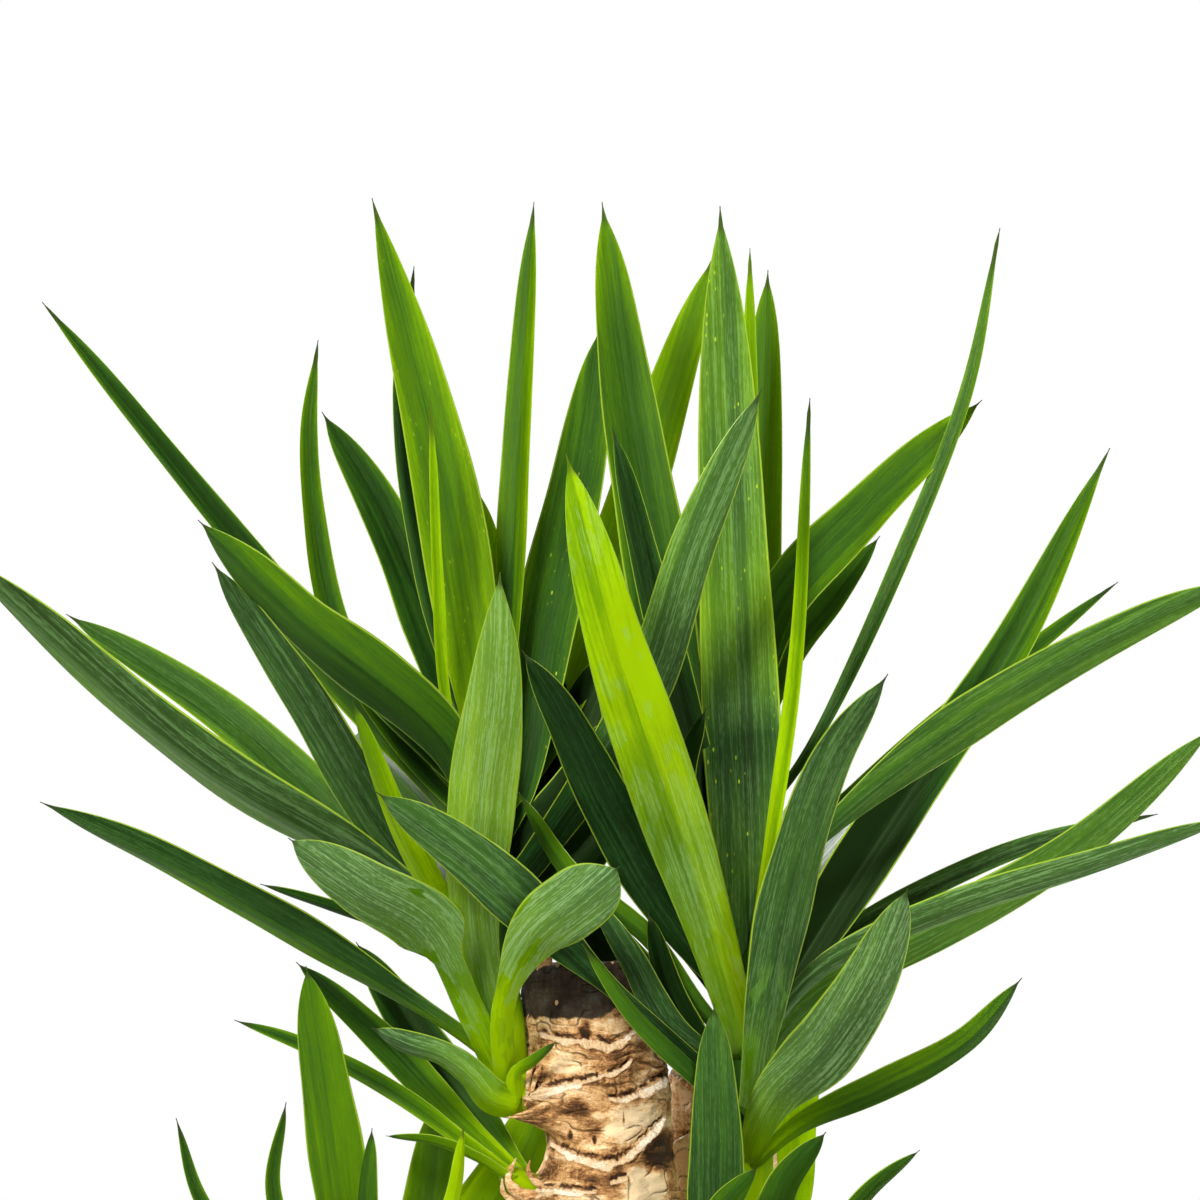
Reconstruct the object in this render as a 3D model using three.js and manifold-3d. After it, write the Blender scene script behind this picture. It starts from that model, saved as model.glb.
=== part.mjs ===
// Potted spineless yucca: three bare canes in a round pot, five leafy shoots on the canes.
// Millimetres, +Z up. The origin is the middle of the pot's underside, and the front is -Y.
import * as THREE from "three";
import { mergeVertices } from "three/addons/utils/BufferGeometryUtils.js";
import Module from "manifold-3d";

const wasm = await Module();
wasm.setup();

// Pot
const POT_HEIGHT = 240;
const POT_TOP_RADIUS = 130;
const POT_BASE_RADIUS = 98;
const POT_WALL = 3;
const POT_FLOOR = 4;
const POT_EDGE = 3;
const RIM_HEIGHT = 20;
const RIM_PROUD = 4;
const POT_SIDES = 40;
const DRAIN_COUNT = 6;
const DRAIN_RADIUS = 6;
const DRAIN_CIRCLE = 62;
const DRAIN_SIDES = 12;

// Soil
const SOIL_LEVEL = 214;
const SOIL_RISE = 5;
const SOIL_SHOULDER = 80;
const GAP = 0.3;

// Canes: an axis and radius that change with height, scar bands above the soil, and the turn of the bark.
// The last row of a spine is the cut top.
const CANE_SIDES = 14;
const SCAR_PROUD = 2.2;
const SCAR_TILT = 5;
const SCAR_TURN = 2.4;
const BAND_FOOT = -0.22;
const BAND_HEAD = 0.2;
const LUMPS = 0.03;
const LUMP_LENGTH = 90;
const CUT_EDGE = 3;
const CANES = {
  cane_tall: {
    spine: [
      { z: 90, x: 0, y: 0, radius: 34 },
      { z: 214, x: 0, y: 0, radius: 36 },
      { z: 330, x: 4, y: 2, radius: 34 },
      { z: 430, x: 0, y: 0, radius: 35 },
      { z: 520, x: 5, y: 0, radius: 37 },
      { z: 548, x: 5, y: 0, radius: 32 },
      { z: 568, x: 3, y: 0, radius: 33 },
      { z: 590, x: -3, y: 0, radius: 33 },
      { z: 616, x: -5, y: 0, radius: 34 },
      { z: 638, x: -5, y: 0, radius: 33 },
    ],
    scars: 14,
    turn: 0.4,
  },
  cane_second: {
    spine: [
      { z: 90, x: 60, y: 48, radius: 29 },
      { z: 214, x: 60, y: 48, radius: 31 },
      { z: 330, x: 66, y: 51, radius: 28 },
      { z: 450, x: 62, y: 50, radius: 30 },
      { z: 579, x: 63, y: 50, radius: 29 },
    ],
    scars: 12,
    turn: 1.9,
  },
  cane_short: {
    spine: [
      { z: 90, x: -80, y: 8, radius: 24 },
      { z: 214, x: -80, y: 8, radius: 26 },
      { z: 310, x: -86, y: 8, radius: 23 },
      { z: 390, x: -83, y: 8, radius: 25 },
      { z: 432, x: -84, y: 8, radius: 24 },
    ],
    scars: 7,
    turn: 3.3,
  },
};

// A leaf blade
const THICKNESS = 1.2;
const FOLD = 0.28;
const BLADE_STATIONS = [0, 0.12, 0.28, 0.46, 0.64, 0.8, 0.92];
const WIDEST = 0.5;
const ROOT_SHARE = 0.45;
const TAPER = 0.5;
const TAPER_CURVE = 1.3;
const TIP_CLOSE = 8;
const STEM_SIDES = 8;

// Arching leaves that a rule sets round a stem
const GOLDEN_SHARE = 0.618;
const ARCH_SHARES = [0, 0.34, 0.68, 1];
const DROOP_CURVE = 1.3;
const SIDE_TURN = 74;

// Places on shoots are written as they look from a point this far in front of the plant, at this height.
// A point at depth y moves out along that line of sight.
const EYE_DISTANCE = 4000;
const EYE_HEIGHT = 820;

const TOWARDS_EYE = new THREE.Vector3(0, -1, 0);

function seen([x, y, z]) {
  const spread = 1 + y / EYE_DISTANCE;
  return new THREE.Vector3(x * spread, y, EYE_HEIGHT + (z - EYE_HEIGHT) * spread);
}

function leaf(path, width, turn, form = {}) {
  return { path, width, turn, ...form };
}

// Shoots. A leaf's path runs from its root on the stem to its tip. Its width is the full blade's.
// With turn 0 the channelled upper side faces the front, and with 180 the underside does.
const SHOOTS = {
  head_left: {
    stem: [[-24, -8, 573], [-38, -13, 573], [-47, -13, 586], [-50, -12, 612], [-55, -10, 654],
      [-51, 0, 738]],
    stemRadius: [13, 9],
    leaves: [
      leaf([[-55, 0, 712], [-115, 28, 772], [-175, 46, 841], [-279, 62, 969]], 17, 34, { fold: 0.4 }),
      leaf([[-56, -10, 690], [-75, -34, 745], [-150, -76, 810], [-201, -100, 860]], 34, 154),
      leaf([[-56, -12, 650], [-100, -30, 692], [-148, -60, 770], [-194, -84, 839]],
        26, 162, { taper: 0.5 }),
      leaf([[-56, -6, 636], [-98, 8, 690], [-120, 16, 727], [-142, 22, 768]], 26, 30),
      leaf([[-55, -14, 640], [-117, -28, 688], [-200, -46, 738], [-322, -62, 844]],
        33, 142, { fold: 0.42 }),
      leaf([[-55, -6, 654], [-110, 36, 692], [-188, 78, 762], [-267, 120, 813]], 26, 24),
      leaf([[-50, -16, 588], [-74, -28, 606], [-150, -62, 653], [-225, -88, 694], [-280, -100, 719]],
        21, 154, { fold: 0.36, root: 0.42, neck: 0.12 }),
      leaf([[-56, -14, 622], [-100, -24, 654], [-135, -30, 667], [-170, -34, 678]], 9, 145),
      leaf([[-47, -22, 576], [-64, -40, 612], [-86, -68, 655], [-118, -96, 675], [-156, -118, 701]],
        36, 166, { neck: 0.4, root: 0.42, taper: 0.4 }),
      leaf([[-56, 0, 700], [-100, 50, 748], [-133, 96, 808], [-144, 120, 866], [-146, 134, 908],
        [-141, 142, 950]],
        15, 22, { fold: 0.42 }),
      leaf([[-55, 0, 704], [-80, 60, 790], [-110, 104, 865], [-139, 136, 914]], 29, 18),
      leaf([[-53, 0, 712], [-65, 18, 795], [-79, 30, 880], [-114, 44, 1021]],
        36, 12, { widest: 0.44, taper: 0.72 }),
      leaf([[-56, -8, 704], [-77, -6, 765], [-82, -6, 830], [-85, -8, 919]], 8, 40, { fold: 0.5 }),
      leaf([[-53, -1, 716], [-84, 60, 820], [-99, 110, 920], [-93, 140, 987]], 16, 26),
      leaf([[-52, -1, 718], [-45, 32, 800], [-41, 56, 880], [-33, 84, 1019]], 18, -30, { fold: 0.5 }),
      leaf([[-54, -4, 696], [-40, 16, 727], [-27, 48, 806], [-9, 84, 890], [0, 112, 957]], 33, -10),
      leaf([[-53, -1, 712], [-30, 40, 745], [5, 86, 830], [37, 124, 930], [57, 142, 993]], 32, -16),
      leaf([[-54, -10, 664], [-30, -22, 694], [22, -50, 774], [48, -78, 851], [81, -106, 926]],
        26, -176, { root: 0.5, taper: 0.4 }),
      leaf([[-52, -22, 606], [-62, -44, 662], [-59, -82, 720], [-52, -130, 780], [-50, -168, 834]],
        34, 180, { root: 0.42, widest: 0.46, taper: 0.2, tip: 3.2 }),
      leaf([[-54, -18, 618], [-80, -38, 668], [-101, -56, 709], [-124, -74, 770]], 16, 150, { root: 0.7 }),
      leaf([[-47, -23, 577], [-48, -48, 616], [-33, -78, 650], [-8, -100, 671], [10, -110, 687]],
        35, -167, { neck: 0.34, root: 0.34, taper: 0, widest: 0.74, tip: 4 }),
      leaf([[-42, -25, 566], [-54, -31, 570], [-66, -37, 583], [-79, -42, 592], [-97, -46, 598],
        [-114, -48, 606]],
        14, 156, { root: 1.4, neck: 0.12, widest: 0.6, taper: 0.1, fold: 0.5, tip: 4 }),
      leaf([[-41, -22, 563], [-42, -27, 574], [-42, -32, 583], [-33, -39, 590], [-22, -44, 599]],
        6.6, -165, { root: 1.9, neck: 0.1, widest: 0.55 }),
      leaf([[-55, -5, 690], [-92, 70, 742], [-140, 150, 795], [-172, 232, 826]], 34, 30),
      leaf([[-55, -8, 668], [-80, 80, 712], [-108, 168, 742], [-124, 262, 752]], 36, 20),
      leaf([[-54, -4, 700], [-60, 84, 765], [-62, 168, 806], [-64, 258, 830]], 36, 8),
      leaf([[-54, -6, 684], [-40, 80, 722], [-26, 170, 752], [-18, 262, 762]], 35, -16),
      leaf([[-54, -3, 712], [-66, 62, 770], [-76, 120, 830], [-86, 176, 876]], 33, 10),
      leaf([[-56, -8, 640], [-84, 60, 672], [-118, 136, 690], [-146, 214, 690]], 34, 28),
      leaf([[-52, -2, 724], [-52, 30, 780], [-57, 52, 830], [-63, 70, 878]], 26, 6),
      leaf([[-54, -4, 646], [-36, 8, 666], [-12, 16, 689], [16, 22, 720]], 35, -30),
      leaf([[-54, -2, 664], [-42, 20, 696], [-30, 40, 736], [-18, 56, 784]], 27, -14),
      leaf([[-54, -4, 676], [-34, 6, 700], [-12, 14, 728], [6, 18, 762]], 24, -20),
      leaf([[-54, 0, 688], [-36, 26, 716], [-15, 46, 750], [6, 60, 796]], 32, -12),
    ],
  },
  head_right: {
    stem: [[70, 30, 508], [73, 4, 524], [74, -12, 548], [74, -14, 600], [72, -8, 670], [69, 0, 740]],
    stemRadius: [14, 8],
    leaves: [
      leaf([[72, -18, 566], [46, -44, 590], [-10, -66, 640], [-64, -86, 690], [-112, -100, 724]],
        29, 172, { neck: 0.36, root: 0.3, widest: 0.68 }),
      leaf([[72, -24, 560], [46, -66, 584], [18, -84, 611], [-9, -92, 648]], 10, -160, { fold: 0.4 }),
      leaf([[73, -18, 590], [50, -30, 616], [23, -36, 652], [-14, -40, 682], [-41, -44, 724]],
        12, 160, { widest: 0.66, root: 0.6, fold: 0.4 }),
      leaf([[72, -16, 616], [34, -40, 664], [4, -64, 716], [-20, -86, 764], [-39, -100, 795]], 28, 172),
      leaf([[72, -18, 582], [34, -42, 608], [16, -48, 640], [-6, -48, 674]], 16, 170),
      leaf([[71, -10, 680], [42, 16, 760], [26, 34, 848], [13, 48, 925], [1, 58, 1019]], 34, 8),
      leaf([[71, -14, 676], [44, -20, 755], [26, -30, 824], [6, -40, 907]], 20, 22),
      leaf([[74, -19, 612], [73, -20, 700], [69, -8, 800], [64, 4, 915], [60, 4, 1017]],
        40, -4, { widest: 0.36, taper: 0.5, root: 0.6 }),
      leaf([[71, -2, 700], [75, 36, 800], [76, 62, 900], [75, 80, 996]], 14, -40),
      leaf([[71, -4, 690], [78, 40, 780], [81, 82, 885], [84, 120, 985]], 26, -20, { taper: 0.4 }),
      leaf([[73, -16, 650], [48, -28, 690], [41, -34, 730], [53, -38, 766]], 16, 160),
      leaf([[74, -24, 590], [55, -50, 655], [30, -82, 730], [7, -112, 800], [-17, -140, 893]],
        35, 178, { root: 0.5, fold: 0.32 }),
      leaf([[74, -20, 626], [87, -26, 704], [99, -30, 795], [105, -34, 921]],
        9, -30, { root: 0.7, fold: 0.45 }),
      leaf([[70, 0, 736], [90, 30, 815], [133, 46, 864], [191, 60, 920]], 30, -22),
      leaf([[71, -2, 726], [92, 50, 789], [116, 78, 820], [140, 96, 852]], 20, -25),
      leaf([[72, -4, 700], [107, 20, 748], [152, 40, 842], [184, 52, 925], [200, 60, 1006]],
        10, -30, { fold: 0.4 }),
      leaf([[74, -22, 556], [82, -42, 610], [96, -74, 680], [115, -108, 738], [144, -144, 783]],
        28, -170, { root: 0.42, widest: 0.44, taper: 0.5 }),
      leaf([[74, -10, 592], [104, -2, 645], [150, 10, 716], [206, 22, 796], [255, 30, 896]],
        30, [-10, -26], { widest: 0.32, taper: 0.6, fold: 0.4 }),
      leaf([[74, -16, 664], [122, -32, 712], [190, -52, 763], [270, -76, 808], [322, -92, 831]],
        26, -160, { root: 0.3, neck: 0.1, taper: 0.5 }),
      leaf([[73, -6, 680], [125, 36, 720], [172, 64, 760], [220, 84, 798], [259, 96, 829]],
        13, -30, { fold: 0.4 }),
      leaf([[75, -16, 582], [104, -20, 617], [170, -26, 655], [240, -34, 697], [308, -42, 757]], 24, -162),
      leaf([[75, -20, 592], [110, -38, 635], [176, -58, 666], [245, -74, 688], [318, -86, 712]], 18, -150),
      leaf([[74, -24, 540], [86, -52, 568], [114, -92, 597], [137, -132, 634], [154, -162, 676]],
        35, -172, { root: 0.36, widest: 0.43, taper: 0.46 }),
      leaf([[76, -20, 537], [100, -36, 557], [143, -62, 577], [184, -86, 600], [211, -102, 631]],
        18, -158, { fold: 0.36 }),
      leaf([[73, -8, 640], [100, 84, 674], [128, 168, 706], [150, 250, 730]], 27, -22),
      leaf([[73, -8, 628], [88, 90, 676], [106, 175, 718], [124, 250, 750]], 26, -14),
      leaf([[72, -6, 676], [72, 90, 726], [74, 178, 758], [76, 268, 770]], 36, 0),
      leaf([[71, -6, 700], [58, 84, 770], [46, 160, 820], [38, 240, 852]], 34, 12),
      leaf([[73, -8, 640], [96, 80, 650], [112, 170, 648], [126, 256, 628]], 36, -14),
      leaf([[70, -2, 718], [70, 50, 800], [68, 96, 866], [66, 140, 920]], 30, 0),
      leaf([[74, -8, 612], [120, 14, 651], [176, 40, 681], [217, 56, 698], [279, 76, 713]], 13, -32),
      leaf([[72, -4, 606], [40, 30, 658], [6, 44, 704], [-30, 52, 756]], 24, 12),
      leaf([[73, -10, 562], [48, 24, 590], [6, 54, 642], [-36, 62, 690]], 32, 10),
      leaf([[72, -8, 634], [50, 8, 672], [26, 22, 724], [-2, 34, 790]], 28, 10),
      leaf([[73, -16, 566], [54, -30, 590], [36, -38, 622], [24, -40, 664]], 16, 168),
      leaf([[72, -4, 656], [48, 26, 696], [20, 52, 736], [-6, 68, 780]], 32, 12),
    ],
  },
  shoot_small: {
    stem: [[-26, -8, 524], [-40, -13, 529], [-49, -14, 536]],
    stemRadius: [8, 5],
    leaves: [
      leaf([[-42, -13, 531], [-78, -4, 566], [-104, 4, 594], [-152, 18, 639]], 20, 30, { root: 0.6 }),
      leaf([[-42, -11, 532], [-56, 6, 552], [-84, 26, 590], [-122, 46, 649]], 26, 20, { root: 0.6 }),
      leaf([[-44, -15, 531], [-74, -16, 553], [-104, -14, 574], [-146, -10, 596], [-183, -6, 610]],
        12, 40, { root: 0.7 }),
      leaf([[-43, -17, 530], [-62, -26, 541], [-82, -32, 549], [-107, -36, 552]], 9, 130, { root: 0.8 }),
    ],
  },
  head_low_left: {
    stem: [[-92, -8, 398], [-104, -24, 410], [-110, -28, 432], [-110, -26, 470]],
    stemRadius: [12, 8],
    leaves: [
      leaf([[-110, -32, 450], [-124, -52, 490], [-135, -66, 560], [-147, -76, 637]],
        29, 170, { taper: 0.45 }),
      leaf([[-110, -34, 448], [-117, -58, 490], [-117, -70, 520], [-114, -78, 556]], 14, 150),
      leaf([[-112, -26, 440], [-170, -34, 480], [-200, -38, 520], [-212, -40, 561]], 10.5, 35),
      leaf([[-111, -22, 446], [-146, -18, 480], [-164, -12, 525], [-157, -8, 569]], 11, 35),
      leaf([[-109, -20, 440], [-90, 26, 490], [-83, 46, 530], [-80, 60, 572]], 32, -10),
      leaf([[-108, -20, 436], [-67, 20, 498], [-39, 40, 542], [-16, 56, 600]], 36, -20),
      leaf([[-108, -32, 446], [-84, -54, 490], [-73, -60, 522], [-68, -62, 558]], 12, -140),
    ],
    rule: {
      count: 18, from: 130, to: 318, z: [420, 462], seed: 0.15,
      length: [275, 170], width: [34, 26], rise: [-30, 14], droop: [50, 24],
    },
  },
  head_low_right: {
    stem: [[72, 30, 398], [77, 4, 412], [80, -12, 434], [82, -14, 478]],
    stemRadius: [12, 8],
    leaves: [
      leaf([[82, -18, 452], [112, -34, 492], [134, -42, 523], [160, -48, 545]], 15, -140),
      leaf([[82, -20, 456], [84, -38, 496], [92, -50, 527], [113, -60, 554]], 21, -160),
      leaf([[80, -22, 446], [60, -52, 492], [58, -66, 552], [57, -74, 618]], 29, 176, { taper: 0.5 }),
      leaf([[83, -8, 462], [98, 6, 520], [100, 16, 572], [117, 27, 632], [134, 34, 671]], 22, -20),
      leaf([[81, -22, 450], [64, -60, 486], [60, -82, 512], [79, -96, 537]], 20, -176),
    ],
    rule: {
      count: 17, from: -100, to: 62, z: [422, 466], seed: 0.4,
      length: [265, 165], width: [34, 26], rise: [-28, 14], droop: [48, 24],
    },
  },
};

const COLOURS = {
  pot: { color: 0x2f3133, roughness: 0.6, metalness: 0 },
  soil: { color: 0x2c1f16, roughness: 0.95, metalness: 0 },
  cane: { color: 0xb48a5c, roughness: 0.85, metalness: 0 },
  leaf: { color: 0x4a8420, roughness: 0.45, metalness: 0 },
};

const between = THREE.MathUtils.lerp;
const radians = THREE.MathUtils.degToRad;

// A geometry's triangles as a solid that can be joined and cut
function solidOf(geometry) {
  const bare = geometry.clone();
  bare.deleteAttribute("normal");
  bare.deleteAttribute("uv");
  const merged = mergeVertices(bare, 1e-4);
  return new wasm.Manifold(new wasm.Mesh({
    numProp: 3,
    vertProperties: new Float32Array(merged.attributes.position.array),
    triVerts: new Uint32Array(merged.index.array),
  }));
}

// The largest connected body of a solid: loose scraps are dropped
function largestBody(solid) {
  const bodies = solid.decompose();
  bodies.sort((a, b) => b.volume() - a.volume());
  return bodies[0];
}

function geometryOf(solid) {
  const { vertProperties, triVerts } = solid.getMesh();
  const geometry = new THREE.BufferGeometry();
  geometry.setAttribute("position", new THREE.BufferAttribute(new Float32Array(vertProperties), 3));
  geometry.setIndex(new THREE.BufferAttribute(new Uint32Array(triVerts), 1));
  geometry.computeVertexNormals();
  return geometry;
}

function namedMesh(name, solid, colour) {
  const mesh = new THREE.Mesh(geometryOf(solid), new THREE.MeshStandardMaterial(colour));
  mesh.name = name;
  return mesh;
}

// A closed body through rings of equal length, with a fan over each end
function loft(rings) {
  const sides = rings[0].length;
  const points = rings.flat();
  const index = [];
  for (let row = 0; row + 1 < rings.length; row += 1) {
    for (let side = 0; side < sides; side += 1) {
      const a = row * sides + side;
      const b = row * sides + (side + 1) % sides;
      index.push(a, b, b + sides, a, b + sides, a + sides);
    }
  }
  const middle = (ring) => ring.reduce((sum, p) => sum.add(p), new THREE.Vector3()).divideScalar(sides);
  const last = (rings.length - 1) * sides;
  const foot = points.length;
  points.push(middle(rings[0]), middle(rings[rings.length - 1]));
  for (let side = 0; side < sides; side += 1) {
    const next = (side + 1) % sides;
    index.push(foot, next, side, foot + 1, last + side, last + next);
  }
  const geometry = new THREE.BufferGeometry().setFromPoints(points);
  geometry.setIndex(index);
  return geometry;
}

// The pot: a tapered wall with a proud rim band, an open top, and drain holes round the middle of its floor
function potRadius(z) {
  return between(POT_BASE_RADIUS, POT_TOP_RADIUS, z / POT_HEIGHT);
}

function potSolid() {
  const rimFoot = POT_HEIGHT - RIM_HEIGHT;
  const outline = [
    [0, 0],
    [potRadius(0) - POT_EDGE, 0],
    [potRadius(POT_EDGE), POT_EDGE],
    [potRadius(rimFoot), rimFoot],
    [potRadius(rimFoot) + RIM_PROUD, rimFoot + POT_EDGE],
    [POT_TOP_RADIUS + RIM_PROUD, POT_HEIGHT - POT_EDGE],
    [POT_TOP_RADIUS + RIM_PROUD - POT_EDGE, POT_HEIGHT],
    [POT_TOP_RADIUS - POT_WALL, POT_HEIGHT],
    [potRadius(POT_FLOOR) - POT_WALL, POT_FLOOR],
    [0, POT_FLOOR],
  ].map(([radius, z]) => new THREE.Vector2(radius, z));
  const wall = new THREE.LatheGeometry(outline, POT_SIDES).rotateX(Math.PI / 2);
  let pot = solidOf(wall);
  for (let hole = 0; hole < DRAIN_COUNT; hole += 1) {
    const angle = (hole / DRAIN_COUNT) * 2 * Math.PI;
    const drain = new THREE.CylinderGeometry(DRAIN_RADIUS, DRAIN_RADIUS, 4 * POT_FLOOR, DRAIN_SIDES)
      .rotateX(Math.PI / 2)
      .translate(DRAIN_CIRCLE * Math.cos(angle), DRAIN_CIRCLE * Math.sin(angle), 0);
    pot = pot.subtract(solidOf(drain));
  }
  return pot;
}

// The soil fills the pot, slightly domed, with a plain hole for each cane
function soilSolid() {
  const foot = POT_FLOOR + GAP;
  const inside = (z) => potRadius(z) - POT_WALL - 2 * GAP;
  const outline = [
    [0, foot],
    [inside(foot), foot],
    [inside(SOIL_LEVEL - SOIL_RISE), SOIL_LEVEL - SOIL_RISE],
    [SOIL_SHOULDER, SOIL_LEVEL],
    [0, SOIL_LEVEL + 1],
  ].map(([radius, z]) => new THREE.Vector2(radius, z));
  let soil = solidOf(new THREE.LatheGeometry(outline, POT_SIDES).rotateX(Math.PI / 2));
  for (const cane of Object.values(CANES)) {
    soil = soil.subtract(caneSolid(cane, GAP));
  }
  return soil;
}

// A cane's axis and radius at a height
function caneAt(spine, z) {
  const next = Math.max(1, spine.findIndex((row) => row.z >= z));
  const [low, high] = [spine[next - 1], spine[next]];
  const share = THREE.MathUtils.smoothstep(z, low.z, high.z);
  return {
    x: between(low.x, high.x, share),
    y: between(low.y, high.y, share),
    radius: between(low.radius, high.radius, share),
  };
}

// A cane: leaf-scar bands stand proud of narrower bark, each tilted its own way. It can be grown all over.
function caneSolid({ spine, scars, turn }, grown = 0) {
  const foot = spine[0].z;
  const top = spine[spine.length - 1].z;
  const pitch = (top - SOIL_LEVEL) / (scars + 0.5);
  const rows = [{ z: foot, rise: -grown, proud: 0, tilt: 0 }];
  for (let scar = 0; scar < scars; scar += 1) {
    const middle = SOIL_LEVEL + (scar + 0.5) * pitch;
    const tilt = SCAR_TILT * Math.cos(scar * SCAR_TURN + turn);
    rows.push({ z: middle + BAND_FOOT * pitch, rise: 0, proud: -SCAR_PROUD / 2, tilt });
    rows.push({ z: middle + BAND_HEAD * pitch, rise: 0, proud: SCAR_PROUD / 2, tilt });
  }
  rows.push({ z: top - CUT_EDGE, rise: 0, proud: 0, tilt: 0 });
  rows.push({ z: top, rise: grown, proud: -CUT_EDGE, tilt: 0 });
  const rings = rows.map(({ z, rise, proud, tilt }) => {
    const { x, y, radius } = caneAt(spine, z);
    const ring = [];
    for (let side = 0; side < CANE_SIDES; side += 1) {
      const angle = (side / CANE_SIDES) * 2 * Math.PI;
      const lumps = LUMPS * radius * Math.sin(2 * angle + z / LUMP_LENGTH + turn);
      const reach = radius + proud + lumps + grown;
      const height = z + rise + tilt * Math.cos(angle + turn);
      ring.push(new THREE.Vector3(x + reach * Math.cos(angle), y + reach * Math.sin(angle), height));
    }
    return ring;
  });
  return solidOf(loft(rings));
}

// A tapering stem along a curve
function stemSolid({ stem, stemRadius }) {
  const curve = new THREE.CatmullRomCurve3(stem.map(seen));
  const steps = 2 * stem.length;
  const rings = [];
  for (let step = 0; step <= steps; step += 1) {
    const share = step / steps;
    const middle = curve.getPointAt(share);
    const tangent = curve.getTangentAt(share);
    const side = new THREE.Vector3().crossVectors(tangent, TOWARDS_EYE).normalize();
    const front = new THREE.Vector3().crossVectors(side, tangent);
    const radius = between(stemRadius[0], stemRadius[1], share);
    const ring = [];
    for (let corner = 0; corner < STEM_SIDES; corner += 1) {
      const angle = (corner / STEM_SIDES) * 2 * Math.PI;
      ring.push(middle.clone()
        .addScaledVector(side, -radius * Math.cos(angle))
        .addScaledVector(front, radius * Math.sin(angle)));
    }
    rings.push(ring);
  }
  return solidOf(loft(rings));
}

// A blade's width at a share of its length, as a share of its full width
function widthShare(share, { widest = WIDEST, neck = 0, root = ROOT_SHARE, taper = TAPER, tip = TIP_CLOSE }) {
  if (share > widest) {
    const past = (share - widest) / (1 - widest);
    return (1 - taper * past ** TAPER_CURVE) * (1 - past ** tip);
  }
  return between(root, 1, THREE.MathUtils.smoothstep(share, neck, widest));
}

// A leaf blade: folded along its midrib, thin at both margins, closed at the root and drawn out to a point
function leafSolid({ path, width, turn, fold = FOLD, ...outline }) {
  const curve = new THREE.CatmullRomCurve3(path.map(seen));
  const [rootTurn, tipTurn] = Array.isArray(turn) ? turn : [turn, turn];
  const points = [];
  for (const share of BLADE_STATIONS) {
    const middle = curve.getPointAt(share);
    const tangent = curve.getTangentAt(share);
    const side = new THREE.Vector3().crossVectors(tangent, TOWARDS_EYE).normalize();
    side.applyAxisAngle(tangent, radians(between(rootTurn, tipTurn, share)));
    const upper = new THREE.Vector3().crossVectors(side, tangent);
    const half = (width / 2) * widthShare(share, outline);
    const raised = middle.clone().addScaledVector(upper, fold * half);
    points.push(
      raised.clone().addScaledVector(side, -half),
      middle.clone().addScaledVector(upper, THICKNESS / 2),
      raised.clone().addScaledVector(side, half),
      middle.clone().addScaledVector(upper, -THICKNESS / 2),
    );
  }
  points.push(curve.getPointAt(1));
  const index = [1, 0, 2, 3, 2, 0];
  const lastRow = 4 * (BLADE_STATIONS.length - 1);
  for (let row = 0; row < lastRow; row += 4) {
    const [left, top, right, under] = [row, row + 1, row + 2, row + 3];
    index.push(left, top, top + 4, left, top + 4, left + 4);
    index.push(top, right, top + 4, right, right + 4, top + 4);
    index.push(right, under, under + 4, right, under + 4, right + 4);
    index.push(under, left, under + 4, left, left + 4, under + 4);
  }
  const tip = points.length - 1;
  for (let corner = 0; corner < 4; corner += 1) {
    index.push(lastRow + corner, lastRow + (corner + 1) % 4, tip);
  }
  const geometry = new THREE.BufferGeometry().setFromPoints(points);
  geometry.setIndex(index);
  return solidOf(geometry);
}

// Arching leaves set round a stem by the golden share of an arc, from the lowest to the highest
function ruledLeaves(stem, { count, from, to, z, seed, length, width, rise, droop }) {
  const [x, y] = stem[stem.length - 1];
  const leaves = [];
  for (let i = 0; i < count; i += 1) {
    const level = i / (count - 1);
    const [root, reach, full, climb, sag] = [z, length, width, rise, droop].map(
      ([lowest, highest]) => between(lowest, highest, level),
    );
    const azimuth = radians(between(from, to, (seed + i * GOLDEN_SHARE) % 1));
    const path = ARCH_SHARES.map((share) => {
      const out = reach * share * Math.cos(radians(climb));
      const up = reach * share * Math.sin(radians(climb)) + sag * share * (1 - DROOP_CURVE * share);
      return [x + out * Math.cos(azimuth), y + out * Math.sin(azimuth), root + up];
    });
    const facing = Math.sin(azimuth) > 0 ? 0 : 180;
    leaves.push(leaf(path, full, facing - SIDE_TURN * Math.cos(azimuth)));
  }
  return leaves;
}

function shootSolid(shoot) {
  const ruled = shoot.rule ? ruledLeaves(shoot.stem, shoot.rule) : [];
  const blades = [...shoot.leaves, ...ruled].map(leafSolid);
  let solid = blades.reduce((joined, blade) => joined.add(blade), stemSolid(shoot));
  for (const cane of Object.values(CANES)) {
    solid = solid.subtract(caneSolid(cane, GAP));
  }
  return largestBody(solid);
}

const yucca = new THREE.Group();
yucca.add(namedMesh("pot", potSolid(), COLOURS.pot));
yucca.add(namedMesh("soil", soilSolid(), COLOURS.soil));
for (const [name, cane] of Object.entries(CANES)) {
  yucca.add(namedMesh(name, caneSolid(cane), COLOURS.cane));
}
for (const [name, shoot] of Object.entries(SHOOTS)) {
  yucca.add(namedMesh(name, shootSolid(shoot), COLOURS.leaf));
}

export default yucca;
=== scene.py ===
"""Potted spineless yucca: finished leaves, canes, soil and pot, with studio, camera and light.

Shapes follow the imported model. They are written in millimetres, in its frame, and turned to metres when their
meshes are made.
"""
import math

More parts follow.
